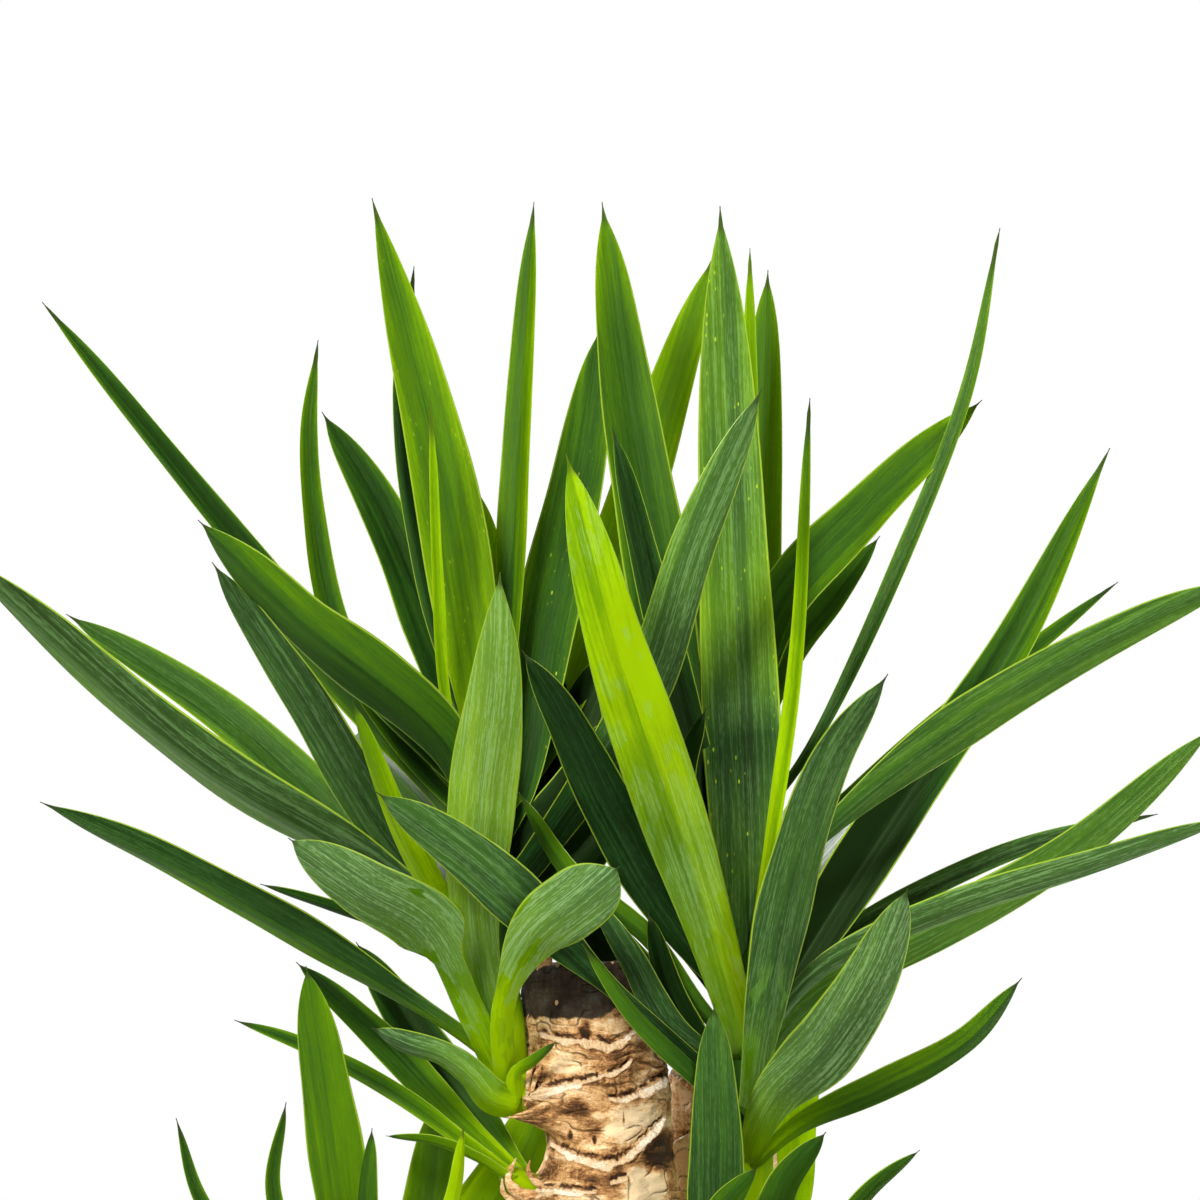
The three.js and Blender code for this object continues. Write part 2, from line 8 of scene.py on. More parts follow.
import bpy
import numpy as np
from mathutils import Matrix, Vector


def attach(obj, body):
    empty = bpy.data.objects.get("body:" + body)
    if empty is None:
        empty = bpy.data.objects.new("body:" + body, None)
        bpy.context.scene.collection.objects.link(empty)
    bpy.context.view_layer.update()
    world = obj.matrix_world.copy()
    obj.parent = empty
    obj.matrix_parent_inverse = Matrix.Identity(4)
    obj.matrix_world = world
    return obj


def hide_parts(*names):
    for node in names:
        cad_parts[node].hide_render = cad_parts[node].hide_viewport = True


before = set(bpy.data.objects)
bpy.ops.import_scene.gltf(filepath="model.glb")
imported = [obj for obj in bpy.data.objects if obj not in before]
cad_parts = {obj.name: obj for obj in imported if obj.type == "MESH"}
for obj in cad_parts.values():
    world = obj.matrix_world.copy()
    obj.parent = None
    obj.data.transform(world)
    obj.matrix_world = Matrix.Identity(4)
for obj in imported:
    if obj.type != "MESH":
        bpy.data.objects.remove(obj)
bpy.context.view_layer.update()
BODY = "root"
METRES = 0.001

# The place that the picture is taken from: shoots are written as they look from here
EYE_DISTANCE = 4000
EYE_HEIGHT = 820
TOWARDS_EYE = np.array([0.0, -1.0, 0.0])
PICTURE_WIDTH = 600
SENSOR = 36

# Blades, as in the model
WIDEST = 0.5
ROOT_SHARE = 0.45
TAPER = 0.5
TAPER_CURVE = 1.3
TIP_CLOSE = 8
FOLD = 0.28
GOLDEN_SHARE = 0.618
ARCH_SHARES = [0, 0.34, 0.68, 1]
DROOP_CURVE = 1.3
SIDE_TURN = 74

# Finer blades. A pair is a stretch, in shares of the length, over which something comes or goes. TIP_THINS
# counts from the tip.
STATIONS = 46
STATION_CROWDING = 1.35
ACROSS = np.array([-1, -0.965, -0.85, -0.66, -0.44, -0.22, -0.07, 0, 0.07, 0.22, 0.44, 0.66, 0.85, 0.965, 1])
AROUND = np.concatenate([ACROSS, ACROSS[-2:0:-1]])
BLADE_END = 0.985
NEEDLE_HALF = 1.1
NEEDLE_LENGTH = 8
NEEDLE_TIP = 0.25
NEEDLE_FROM = (0.85, 0.9)
MIDRIB_THICKNESS = 0.9
MARGIN_THICKNESS = 0.3
ROOT_THICKNESS = 2.6
ROOT_THINS = 22
THICKEST = 0.9
TIP_THINS = (-0.002, 0.05)
KEEL_SOFTNESS = 0.14
WIDTH_WAVE = 0.05
WAVE_HEIGHT = 1.1
WAVE_WIDTH = 10
WAVE_FROM = (0.1, 0.4)
SHADED_HALVES_MEET = 0.12
SHADE_SPREAD = 0.03
SEEDS = 9
TEXTURE_WIDTH = 17
TEXTURE_LENGTH = 100

# Stems of shoots. They darken over a stretch of their length, in millimetres from the foot.
STEM_SIDES = 24
STEM_ROWS = 40
STEM_ENDS = (0.9, 1.02)
STEM_DARKENS = (45, 95)
STEM_ACROSS = 0.8
STEM_ALONG = 0.1
STEM_SEED = 3.0

# Shades of leaf, from the darkest to the youngest. The darkest also serve as painted shade deep in the heads.
BLACK_GREEN = 0.04
DARK = 0.18
BLUE = 0.3
GREEN = 0.44
MID = 0.58
FRESH = 0.7
YELLOW = 0.84
LIME = 1.0

random = np.random.default_rng(1746)


def leaf(path, width, turn, shade=GREEN, **more):
    """A leaf's path from root to tip, its full width and turn, its shades, and what it has besides.

    Its outline may have a root, neck, widest place, taper and tip of its own, its two sides a fold and tones of
    painted light and shade.
    Pale is its waxy bloom, wet tears the bloom and makes it shine, and dots are pale spots.
    """
    return {"path": path, "width": width, "turn": turn, "shade": shade, **more}


# A leaf's shades are its own green and, where other leaves shade it, painted shadow: darker steps along some
# leaves, the near-black inner leaves and the shades below zero.
HEAD_LEFT = [
    leaf([[-55, 0, 712], [-115, 28, 772], [-175, 46, 841], [-279, 62, 969]], 17, 34, [DARK, GREEN], fold=0.4,
         halves=(0.05, -0.06)),
    leaf([[-56, -10, 690], [-75, -34, 745], [-150, -76, 810], [-201, -100, 860]], 34, 154, [GREEN, 0.5],
         halves=(-0.12, 0.0)),
    leaf([[-56, -12, 650], [-100, -30, 692], [-148, -60, 770], [-194, -84, 839]], 26, 162, BLUE, pale=0.3,
         halves=(0.02, -0.1), taper=0.5),
    leaf([[-56, -6, 636], [-98, 8, 690], [-120, 16, 727], [-142, 22, 768]], 26, 30, BLACK_GREEN),
    leaf([[-55, -14, 640], [-117, -28, 688], [-200, -46, 738], [-322, -62, 844]], 33, 142, GREEN, pale=0.3,
         fold=0.42, halves=(0.05, -0.22)),
    leaf([[-55, -6, 654], [-110, 36, 692], [-188, 78, 762], [-267, 120, 813]], 26, 24, GREEN, pale=0.15),
    leaf([[-50, -16, 588], [-74, -28, 606], [-150, -62, 653], [-225, -88, 694], [-280, -100, 719]], 21, 154,
         [YELLOW, DARK, DARK, DARK, DARK], fold=0.36, root=0.42, neck=0.12, halves=(0.3, 0.0), pale=0.15),
    leaf([[-56, -14, 622], [-100, -24, 654], [-135, -30, 667], [-170, -34, 678]], 9, 145, DARK),
    leaf([[-47, -22, 576], [-64, -40, 612], [-86, -68, 655], [-118, -96, 675], [-156, -118, 701]], 36, 166,
         [LIME, YELLOW, MID, GREEN, GREEN], neck=0.4, root=0.42, taper=0.4, pale=0.9, wet=1),
    leaf([[-56, 0, 700], [-100, 50, 748], [-133, 96, 808], [-144, 120, 866], [-146, 134, 908],
         [-141, 142, 950]], 15, 22, [DARK, GREEN, MID], fold=0.42, halves=(0.06, -0.04)),
    leaf([[-55, 0, 704], [-80, 60, 790], [-110, 104, 865], [-139, 136, 914]], 29, 18, [DARK, GREEN]),
    leaf([[-53, 0, 712], [-65, 18, 795], [-79, 30, 880], [-114, 44, 1021]], 36, 12, [YELLOW, MID, MID],
         widest=0.44, taper=0.72, dots=0.4),
    leaf([[-56, -8, 704], [-77, -6, 765], [-82, -6, 830], [-85, -8, 919]], 8, 40, YELLOW, fold=0.5),
    leaf([[-53, -1, 716], [-84, 60, 820], [-99, 110, 920], [-93, 140, 987]], 16, 26, DARK),
    leaf([[-52, -1, 718], [-45, 32, 800], [-41, 56, 880], [-33, 84, 1019]], 18, -30, [DARK, FRESH, MID],
         fold=0.5, halves=(-0.22, 0.06)),
    leaf([[-54, -4, 696], [-40, 16, 727], [-27, 48, 806], [-9, 84, 890], [0, 112, 957]], 33, -10,
         [DARK, GREEN, GREEN], dots=1),
    leaf([[-53, -1, 712], [-30, 40, 745], [5, 86, 830], [37, 124, 930], [57, 142, 993]], 32, -16,
         [MID, FRESH]),
    leaf([[-54, -10, 664], [-30, -22, 694], [22, -50, 774], [48, -78, 851], [81, -106, 926]], 26, -176,
         [BLACK_GREEN, BLACK_GREEN, BLUE, GREEN, GREEN, GREEN], root=0.5, pale=0.5, taper=0.4,
         halves=(0.06, -0.04)),
    leaf([[-52, -22, 606], [-62, -44, 662], [-59, -82, 720], [-52, -130, 780], [-50, -168, 834]], 34, 180,
         [FRESH, FRESH, MID], root=0.42, widest=0.46, taper=0.2, tip=3.2, pale=1.0, halves=(0.15, 0.15)),
    leaf([[-54, -18, 618], [-80, -38, 668], [-101, -56, 709], [-124, -74, 770]], 16, 150,
         [LIME, YELLOW, FRESH], root=0.7, wet=1),
    leaf([[-47, -23, 577], [-48, -48, 616], [-33, -78, 650], [-8, -100, 671], [10, -110, 687]], 35, -167,
         [LIME, LIME, FRESH, GREEN, BLUE], neck=0.34, root=0.34, taper=0, widest=0.74, tip=4, pale=1.0,
         wet=1, halves=(0.1, 0.1)),
    leaf([[-42, -25, 566], [-54, -31, 570], [-66, -37, 583], [-79, -42, 592], [-97, -46, 598],
         [-114, -48, 606]], 14, 156, [LIME, YELLOW, FRESH, MID, BLUE, BLUE], root=1.4, neck=0.12, widest=0.6,
         taper=0.1, fold=0.5, tip=4, pale=0.8),
    leaf([[-41, -22, 563], [-42, -27, 574], [-42, -32, 583], [-33, -39, 590], [-22, -44, 599]], 6.6, -165,
         [LIME, LIME, YELLOW, MID, GREEN], root=1.9, neck=0.1, widest=0.55),
    leaf([[-55, -5, 690], [-92, 70, 742], [-140, 150, 795], [-172, 232, 826]], 34, 30, GREEN),
    leaf([[-55, -8, 668], [-80, 80, 712], [-108, 168, 742], [-124, 262, 752]], 36, 20, GREEN),
    leaf([[-54, -4, 700], [-60, 84, 765], [-62, 168, 806], [-64, 258, 830]], 36, 8, MID),
    leaf([[-54, -6, 684], [-40, 80, 722], [-26, 170, 752], [-18, 262, 762]], 35, -16, DARK),
    leaf([[-54, -3, 712], [-66, 62, 770], [-76, 120, 830], [-86, 176, 876]], 33, 10, MID),
    leaf([[-56, -8, 640], [-84, 60, 672], [-118, 136, 690], [-146, 214, 690]], 34, 28, DARK),
    leaf([[-52, -2, 724], [-52, 30, 780], [-57, 52, 830], [-63, 70, 878]], 26, 6, [DARK, FRESH]),
    leaf([[-54, -4, 646], [-36, 8, 666], [-12, 16, 689], [16, 22, 720]], 35, -30, BLACK_GREEN),
    leaf([[-54, -2, 664], [-42, 20, 696], [-30, 40, 736], [-18, 56, 784]], 27, -14, BLACK_GREEN),
    leaf([[-54, -4, 676], [-34, 6, 700], [-12, 14, 728], [6, 18, 762]], 24, -20, BLACK_GREEN),
    leaf([[-54, 0, 688], [-36, 26, 716], [-15, 46, 750], [6, 60, 796]], 32, -12, BLACK_GREEN),
]

HEAD_RIGHT = [
    leaf([[72, -18, 566], [46, -44, 590], [-10, -66, 640], [-64, -86, 690], [-112, -100, 724]], 29, 172,
         [BLACK_GREEN, 0.08, 0.12, BLUE, BLUE], neck=0.36, root=0.3, widest=0.68, pale=0.4),
    leaf([[72, -24, 560], [46, -66, 584], [18, -84, 611], [-9, -92, 648]], 10, -160, [DARK, GREEN, MID],
         fold=0.4),
    leaf([[73, -18, 590], [50, -30, 616], [23, -36, 652], [-14, -40, 682], [-41, -44, 724]], 12, 160,
         [GREEN, MID], widest=0.66, root=0.6, fold=0.4),
    leaf([[72, -16, 616], [34, -40, 664], [4, -64, 716], [-20, -86, 764], [-39, -100, 795]], 28, 172,
         [-0.04, -0.04, 0.0], pale=0.35, halves=(0.05, -0.06)),
    leaf([[72, -18, 582], [34, -42, 608], [16, -48, 640], [-6, -48, 674]], 16, 170, 0.24, pale=0.5),
    leaf([[71, -10, 680], [42, 16, 760], [26, 34, 848], [13, 48, 925], [1, 58, 1019]], 34, 8,
         [DARK, DARK, GREEN, GREEN, MID]),
    leaf([[71, -14, 676], [44, -20, 755], [26, -30, 824], [6, -40, 907]], 20, 22, [BLACK_GREEN, DARK],
         pale=0.2),
    leaf([[74, -19, 612], [73, -20, 700], [69, -8, 800], [64, 4, 915], [60, 4, 1017]], 40, -4,
         [GREEN, GREEN, MID, GREEN, DARK, MID, FRESH, MID, GREEN, MID, MID, MID, MID], widest=0.36,
         taper=0.5, root=0.6, dots=1, pale=0.35, halves=(0.05, -0.04)),
    leaf([[71, -2, 700], [75, 36, 800], [76, 62, 900], [75, 80, 996]], 14, -40, [GREEN, YELLOW]),
    leaf([[71, -4, 690], [78, 40, 780], [81, 82, 885], [84, 120, 985]], 26, -20, MID, taper=0.4),
    leaf([[73, -16, 650], [48, -28, 690], [41, -34, 730], [53, -38, 766]], 16, 160, DARK),
    leaf([[74, -24, 590], [55, -50, 655], [30, -82, 730], [7, -112, 800], [-17, -140, 893]], 35, 178,
         [FRESH, YELLOW, FRESH, YELLOW, LIME, YELLOW, YELLOW], root=0.5, pale=0.6, wet=0.7, fold=0.32,
         halves=(-0.06, 0.1)),
    leaf([[74, -20, 626], [87, -26, 704], [99, -30, 795], [105, -34, 921]], 9, -30,
         [YELLOW, LIME, YELLOW, GREEN], root=0.7, fold=0.45),
    leaf([[70, 0, 736], [90, 30, 815], [133, 46, 864], [191, 60, 920]], 30, -22, [DARK, GREEN, MID]),
    leaf([[71, -2, 726], [92, 50, 789], [116, 78, 820], [140, 96, 852]], 20, -25, GREEN),
    leaf([[72, -4, 700], [107, 20, 748], [152, 40, 842], [184, 52, 925], [200, 60, 1006]], 10, -30,
         [DARK, GREEN, MID], fold=0.4, pale=0.2),
    leaf([[74, -22, 556], [82, -42, 610], [96, -74, 680], [115, -108, 738], [144, -144, 783]], 28, -170,
         [FRESH, BLUE, BLUE, BLUE], root=0.42, widest=0.44, taper=0.5, wet=1, pale=0.4),
    leaf([[74, -10, 592], [104, -2, 645], [150, 10, 716], [206, 22, 796], [255, 30, 896]], 30, [-10, -26],
         [-0.12, -0.12, GREEN, MID], widest=0.32, taper=0.6, fold=0.4, halves=(-0.1, 0.06)),
    leaf([[74, -16, 664], [122, -32, 712], [190, -52, 763], [270, -76, 808], [322, -92, 831]], 26, -160,
         [DARK, GREEN, GREEN, GREEN], root=0.3, neck=0.1, taper=0.5, pale=0.2),
    leaf([[73, -6, 680], [125, 36, 720], [172, 64, 760], [220, 84, 798], [259, 96, 829]], 13, -30,
         [DARK, GREEN], fold=0.4),
    leaf([[75, -16, 582], [104, -20, 617], [170, -26, 655], [240, -34, 697], [308, -42, 757]], 24, -162,
         GREEN, pale=0.3),
    leaf([[75, -20, 592], [110, -38, 635], [176, -58, 666], [245, -74, 688], [318, -86, 712]], 18, -150,
         GREEN, pale=0.6),
    leaf([[74, -24, 540], [86, -52, 568], [114, -92, 597], [137, -132, 634], [154, -162, 676]], 35, -172,
         [LIME, GREEN, GREEN, GREEN], root=0.36, widest=0.43, taper=0.46, pale=0.85, halves=(0.04, -0.06)),
    leaf([[76, -20, 537], [100, -36, 557], [143, -62, 577], [184, -86, 600], [211, -102, 631]], 18, -158,
         [YELLOW, GREEN, GREEN, GREEN], fold=0.36, halves=(0.08, -0.12)),
    leaf([[73, -8, 640], [100, 84, 674], [128, 168, 706], [150, 250, 730]], 27, -22, DARK),
    leaf([[73, -8, 628], [88, 90, 676], [106, 175, 718], [124, 250, 750]], 26, -14, DARK),
    leaf([[72, -6, 676], [72, 90, 726], [74, 178, 758], [76, 268, 770]], 36, 0, MID),
    leaf([[71, -6, 700], [58, 84, 770], [46, 160, 820], [38, 240, 852]], 34, 12, MID),
    leaf([[73, -8, 640], [96, 80, 650], [112, 170, 648], [126, 256, 628]], 36, -14, GREEN),
    leaf([[70, -2, 718], [70, 50, 800], [68, 96, 866], [66, 140, 920]], 30, 0, [DARK, FRESH]),
    leaf([[74, -8, 612], [120, 14, 651], [176, 40, 681], [217, 56, 698], [279, 76, 713]], 13, -32, BLUE,
         pale=0.5),
    leaf([[72, -4, 606], [40, 30, 658], [6, 44, 704], [-30, 52, 756]], 24, 12, BLACK_GREEN),
    leaf([[73, -10, 562], [48, 24, 590], [6, 54, 642], [-36, 62, 690]], 32, 10, BLACK_GREEN),
    leaf([[72, -8, 634], [50, 8, 672], [26, 22, 724], [-2, 34, 790]], 28, 10, BLACK_GREEN),
    leaf([[73, -16, 566], [54, -30, 590], [36, -38, 622], [24, -40, 664]], 16, 168, BLACK_GREEN),
    leaf([[72, -4, 656], [48, 26, 696], [20, 52, 736], [-6, 68, 780]], 32, 12, BLACK_GREEN),
]

SHOOT_SMALL = [
    leaf([[-42, -13, 531], [-78, -4, 566], [-104, 4, 594], [-152, 18, 639]], 20, 30, [YELLOW, GREEN, DARK],
         root=0.6),
    leaf([[-42, -11, 532], [-56, 6, 552], [-84, 26, 590], [-122, 46, 649]], 26, 20, [FRESH, DARK, DARK],
         root=0.6),
    leaf([[-44, -15, 531], [-74, -16, 553], [-104, -14, 574], [-146, -10, 596], [-183, -6, 610]], 12, 40,
         [YELLOW, GREEN, GREEN], root=0.7),
    leaf([[-43, -17, 530], [-62, -26, 541], [-82, -32, 549], [-107, -36, 552]], 9, 130, [YELLOW, GREEN],
         root=0.8),
]

HEAD_LOW_LEFT = [
    leaf([[-110, -32, 450], [-124, -52, 490], [-135, -66, 560], [-147, -76, 637]], 29, 170,
         [FRESH, MID, MID], taper=0.45),
    leaf([[-110, -34, 448], [-117, -58, 490], [-117, -70, 520], [-114, -78, 556]], 14, 150, GREEN),
    leaf([[-112, -26, 440], [-170, -34, 480], [-200, -38, 520], [-212, -40, 561]], 10.5, 35, GREEN),
    leaf([[-111, -22, 446], [-146, -18, 480], [-164, -12, 525], [-157, -8, 569]], 11, 35, GREEN),
    leaf([[-109, -20, 440], [-90, 26, 490], [-83, 46, 530], [-80, 60, 572]], 32, -10, MID),
    leaf([[-108, -20, 436], [-67, 20, 498], [-39, 40, 542], [-16, 56, 600]], 36, -20, FRESH),
    leaf([[-108, -32, 446], [-84, -54, 490], [-73, -60, 522], [-68, -62, 558]], 12, -140, LIME),
]

HEAD_LOW_RIGHT = [
    leaf([[82, -18, 452], [112, -34, 492], [134, -42, 523], [160, -48, 545]], 15, -140, GREEN),
    leaf([[82, -20, 456], [84, -38, 496], [92, -50, 527], [113, -60, 554]], 21, -160, GREEN),
    leaf([[80, -22, 446], [60, -52, 492], [58, -66, 552], [57, -74, 618]], 29, 176, [DARK, BLUE, GREEN],
         taper=0.5, pale=0.2),
    leaf([[83, -8, 462], [98, 6, 520], [100, 16, 572], [117, 27, 632], [134, 34, 671]], 22, -20, LIME),
    leaf([[81, -22, 450], [64, -60, 486], [60, -82, 512], [79, -96, 537]], 20, -176, GREEN),
]

SHOOTS = {
    "head_left": {
        "stem": [[-24, -8, 573], [-38, -13, 573], [-47, -13, 586], [-50, -12, 612], [-55, -10, 654],
                 [-51, 0, 738]],
        "radius": [13, 9],
        "leaves": HEAD_LEFT,
    },
    "head_right": {
        "stem": [[70, 30, 508], [73, 4, 524], [74, -12, 548], [74, -14, 600], [72, -8, 670], [69, 0, 740]],
        "radius": [14, 8],
        "leaves": HEAD_RIGHT,
    },
    "shoot_small": {
        "stem": [[-26, -8, 524], [-40, -13, 529], [-49, -14, 536]],
        "radius": [8, 5],
        "leaves": SHOOT_SMALL,
    },
    "head_low_left": {
        "stem": [[-92, -8, 398], [-104, -24, 410], [-110, -28, 432], [-110, -26, 470]],
        "radius": [12, 8],
        "leaves": HEAD_LOW_LEFT,
        "rule": {"count": 18, "start": 130, "end": 318, "levels": [420, 462], "seed": 0.15,
                 "length": [275, 170], "width": [34, 26], "rise": [-30, 14], "droop": [50, 24]},
    },
    "head_low_right": {
        "stem": [[72, 30, 398], [77, 4, 412], [80, -12, 434], [82, -14, 478]],
        "radius": [12, 8],
        "leaves": HEAD_LOW_RIGHT,
        "rule": {"count": 17, "start": -100, "end": 62, "levels": [422, 466], "seed": 0.4,
                 "length": [265, 165], "width": [34, 26], "rise": [-28, 14], "droop": [48, 24]},
    },
}

# Canes, as in the model: rows of height, place of the axis and radius, up to the cut top. Boughs are
# swellings, most of them where shoots grow out: turn round the cane, height, reach and width.
CANES = {
    "cane_tall": {
        "spine": [[90, 0, 0, 34], [214, 0, 0, 36], [330, 4, 2, 34], [430, 0, 0, 35], [520, 5, 0, 37],
                  [548, 5, 0, 32], [568, 3, 0, 33], [590, -3, 0, 33], [616, -5, 0, 34], [638, -5, 0, 33]],
        "turn": 0.4, "columns": 300, "step": 2.2, "fine_from": 505, "fine_step": 0.5, "sealed": 26,
        "lightness": 0.25,
        "boughs": [(-2.66, 562.5, 18, 8), (-2.52, 573, 10, 9), (-2.85, 580, 6, 13), (-2.9, 526, 8, 11),
                   (-0.15, 587, 4, 20)],
    },
    "cane_second": {
        "spine": [[90, 60, 48, 29], [214, 60, 48, 31], [330, 66, 51, 28], [450, 62, 50, 30],
                  [579, 63, 50, 29]],
        "turn": 1.9, "columns": 150, "step": 2.0, "fine_from": 500, "fine_step": 0.9, "sealed": 0,
        # Painted light: this cane's bark is made lighter to lift it out of the shade it stands in
        "lightness": 1.1,
        "boughs": [(-1.35, 500, 9, 11), (-1.3, 392, 9, 11)],
    },
    "cane_short": {
        "spine": [[90, -80, 8, 24], [214, -80, 8, 26], [310, -86, 8, 23], [390, -83, 8, 25],
                  [432, -84, 8, 24]],
        "turn": 3.3, "columns": 110, "step": 1.6, "fine_from": 380, "fine_step": 1.2, "sealed": 2,
        "lightness": 0.3,
        "boughs": [(-2.2, 394, 8, 11)],
    },
}
PICTURED_CANE = "cane_tall"
SOIL_LEVEL = 214
CANE_SUNK = 200
LUMPS = 0.03
LUMP_LENGTH = 90
SCAR_PITCH = 16
SCAR_TURN = 2.4
SCAR_POINTS = 7
SCARS_START = 4
SCARS_STOP = 6
EDGE_ON = 0.98
CUT_RINGS = ((0.93, 1.5), (0.8, 1.8), (0.5, 0.9), (0.2, 0.3))
CUT_MASKS = {"scar": 0, "groove": 0.25, "cap": 1, "light": 0, "worn": 0, "crease": 0}
CUT_BELOW = 2
FRONT = -math.pi / 2
FRONT_CROWDING = 0.55

# Relief of the bark, in millimetres
BARK_SUNK = 1.2
LEDGE_PROUD = 2.6
LEDGE_FADES = 11
CREVICE_DEPTH = 1.5
CREVICE_HALF = 0.9
UNDERCUT_DEPTH = 0.4
UNDERCUT_HALF = 0.6
WEAR_AND_SHADE_ABOVE = 8
WEAR_AND_SHADE_BELOW = 2.5
FOLD_HEIGHT = 0.55
WRINKLE_HEIGHT = 0.25
CREASE_DEPTH = 0.5
PLEAT_HEIGHT = 1.2
CAP_HEIGHT = 0.5
CAP_SLANT = 0.3
CUT_ROUNDED = 3
RAGGED = 4

# Stretches, as depths below a cane's top, over which its bark is weathered and darkened, rounded off and ragged
WEAR_AND_SHADE_TOP = (45, 10)
ROUND_TOP = (6, -3)
RAGGED_TOP = (9, 2)

# Leaf scars on the tall cane's front, as seen from the eye: x, height and the thickness of the pale band
PICTURED_FROM = 516
PICTURED_SPREAD = 1.9
PICTURED_SCARS = [
    [(-29.5, 605, 1.5), (-20, 601.5, 3), (-10, 600.5, 5), (0, 599, 6), (6, 598, 5), (12.5, 601, 4),
     (18.5, 607, 2)],
    [(-29.5, 576.5, 2.5), (-23.5, 575, 8), (-17.5, 577, 7), (-10, 580, 5), (0, 583, 2.5), (11, 587, 1.4),
     (15.5, 592, 1)],
    [(4.5, 572.5, 2), (11, 572, 3), (19, 574, 4), (26, 577, 4), (33, 581.5, 4)],
    [(-24, 549.5, 2), (-17, 545.5, 4), (-7.5, 541.5, 5), (2.5, 539.5, 5.5), (11, 541, 5), (18, 546.5, 6),
     (25, 553.5, 5), (32.5, 562, 2.5)],
    [(-33, 522, 5), (-27.5, 524.5, 6), (-17.5, 526, 5), (-1.5, 526.5, 2)],
    [(5, 531, 2.5), (9, 532, 4), (13.5, 534, 1.5)],
]

# Smooth pale plates, brown places of wear, painted shadows and a painted highlight on that front: x, height,
# half width, half height and lightness
PICTURED_PATCHES = [
    (-8, 611, 20, 6, 0.8), (16, 560, 16, 10, 1.3), (21, 528, 11, 8, 1.9), (-16, 590, 12, 6, 0.35),
    (-11.5, 568, 7, 5, -1.3), (-22, 556, 8, 6, -0.4), (-4, 534, 26, 6, -0.5), (30, 546, 9, 12, -2.4),
    (18, 590, 10, 5, -0.5), (-29, 590, 5, 12, -0.8), (-7, 607.5, 2.8, 4.5, -2.4), (4, 614, 6, 2, -0.5),
    (-14.6, 554.4, 1.5, 2.5, -2.5), (-2.7, 552, 1.5, 2.2, -2.5), (11.6, 562.5, 0.7, 4.5, -2.2),
    (-10, 586, 14, 2, 0.5), (-1, 564, 4, 2.5, 0.9), (-6, 554, 9, 8, -0.3), (6.7, 547, 1.6, 1.6, -1.4),
    (35, 533, 5, 6, -0.4), (3, 604, 20, 3, -0.2),
]

# Torn strips of bark on the tall cane, at the shoots' feet and at the cut top: paths and widths
TORN_STRIPS = [
    ([[-24, -24, 566], [-32, -29, 564], [-39, -28, 562], [-47, -26, 561]], 3.0),
    ([[-20, -27, 571], [-29, -31, 567], [-36, -30, 564], [-43, -27, 562.5]], 3.0),
    ([[-31, -17, 595], [-35, -23, 586], [-36, -26, 577], [-36, -28, 568]], 4.0),
    ([[-27, -20, 588], [-32, -25, 582], [-34, -28, 575], [-38, -28, 566]], 3.0),
    ([[-28, -20, 522], [-40, -22, 523], [-46, -22, 530], [-42, -20, 541]], 7.0),
    ([[-30, -20, 519], [-41, -20, 519], [-48, -19, 523], [-49, -18, 532]], 5.0),
    ([[-28, -18, 526], [-33, -21, 530], [-36, -22, 535], [-35, -21, 540]], 4.0),
    ([[-26, -20, 628], [-27, -19, 637], [-25, -17, 644], [-21, -16, 649]], 9.0),
    ([[-18, -26, 630], [-19, -24, 638], [-20, -21, 643], [-17, -19, 647]], 7.0),
]
STRIP_STATIONS = 16
STRIP_ACROSS = np.array([-1, -0.6, 0, 0.6, 1])
STRIP_THICKNESS = 1.1
STRIP_CURL = 0.45
STRIP_LEAST = 0.3

# Pot, as in the model. Its foot is written as radius and height. Its rim is written as steps out and up: under
# it from the wall at the rim's foot, and over it from the pot's top edge.
POT_HEIGHT = 240
POT_TOP_RADIUS = 130
POT_BASE_RADIUS = 98
POT_WALL = 3
POT_FLOOR = 4
RIM_HEIGHT = 20
RIM_PROUD = 4
POT_COLUMNS = 144
POT_FOOT = [(0.5, 0.2), (40, 0.2), (70, 0.2), (88, 0.2), (92, 0), (94.5, 0), (96.6, 0.9), (98.2, 2.6)]
RIM_UNDER = [(0, -1), (2.6, 0), (RIM_PROUD - 0.2, 1.4), (RIM_PROUD, 4)]
RIM_OVER = [(RIM_PROUD, -4), (RIM_PROUD - 0.7, -1.4), (RIM_PROUD - 2.4, -0.2), (-1, -0.2),
            (-POT_WALL, -2)]
FLOOR_RADII = (70, 30, 0.5)

# Soil, and the crumbs on it
SOIL_RINGS = 70
SOIL_COLUMNS = 160
SOIL_CLEAR = 0.8
SOIL_DOME = 5.5
SOIL_PROUD = 0.6
SOIL_SKIRT = 40
SWELLS = 26
SWELL_SIZES = (2.5, 16)
SWELL_HEIGHT = 0.055
CRUMBS = 1300
CRUMB_SIZES = (1.2, 4.2)
WHITE_SIZES = (1.0, 2.0)
CRUMB_PROUD = 1.2
CRUMB_REACH = 0.97
WHITE_SHARE = 0.07
CRUMB_CORNERS = np.array([[1, 0, 0], [-1, 0, 0], [0, 1, 0], [0, -1, 0], [0, 0, 1], [0, 0, -1]], float)
CRUMB_SIDES = [[0, 2, 4], [2, 1, 4], [1, 3, 4], [3, 0, 4], [2, 0, 5], [1, 2, 5], [3, 1, 5], [0, 3, 5]]

# Studio, in metres
FLOOR_HALF = 1.6
WORLD_FOR_LIGHT = 0.08
LIGHTS = {
    "key": {"at": (-1.2, -2.3, 2.3), "size": 0.8, "watts": 125},
    "fill": {"at": (2.0, -1.8, 1.2), "size": 1.2, "watts": 34},
    "back right": {"at": (1.3, 1.7, 2.2), "size": 0.8, "watts": 105},
    "back left": {"at": (-1.5, 1.8, 1.9), "size": 0.8, "watts": 70},
}
AIM = Vector((0, 0, 0.75))


# Numbers and curves

def between(a, b, share):
    return a + (b - a) * share


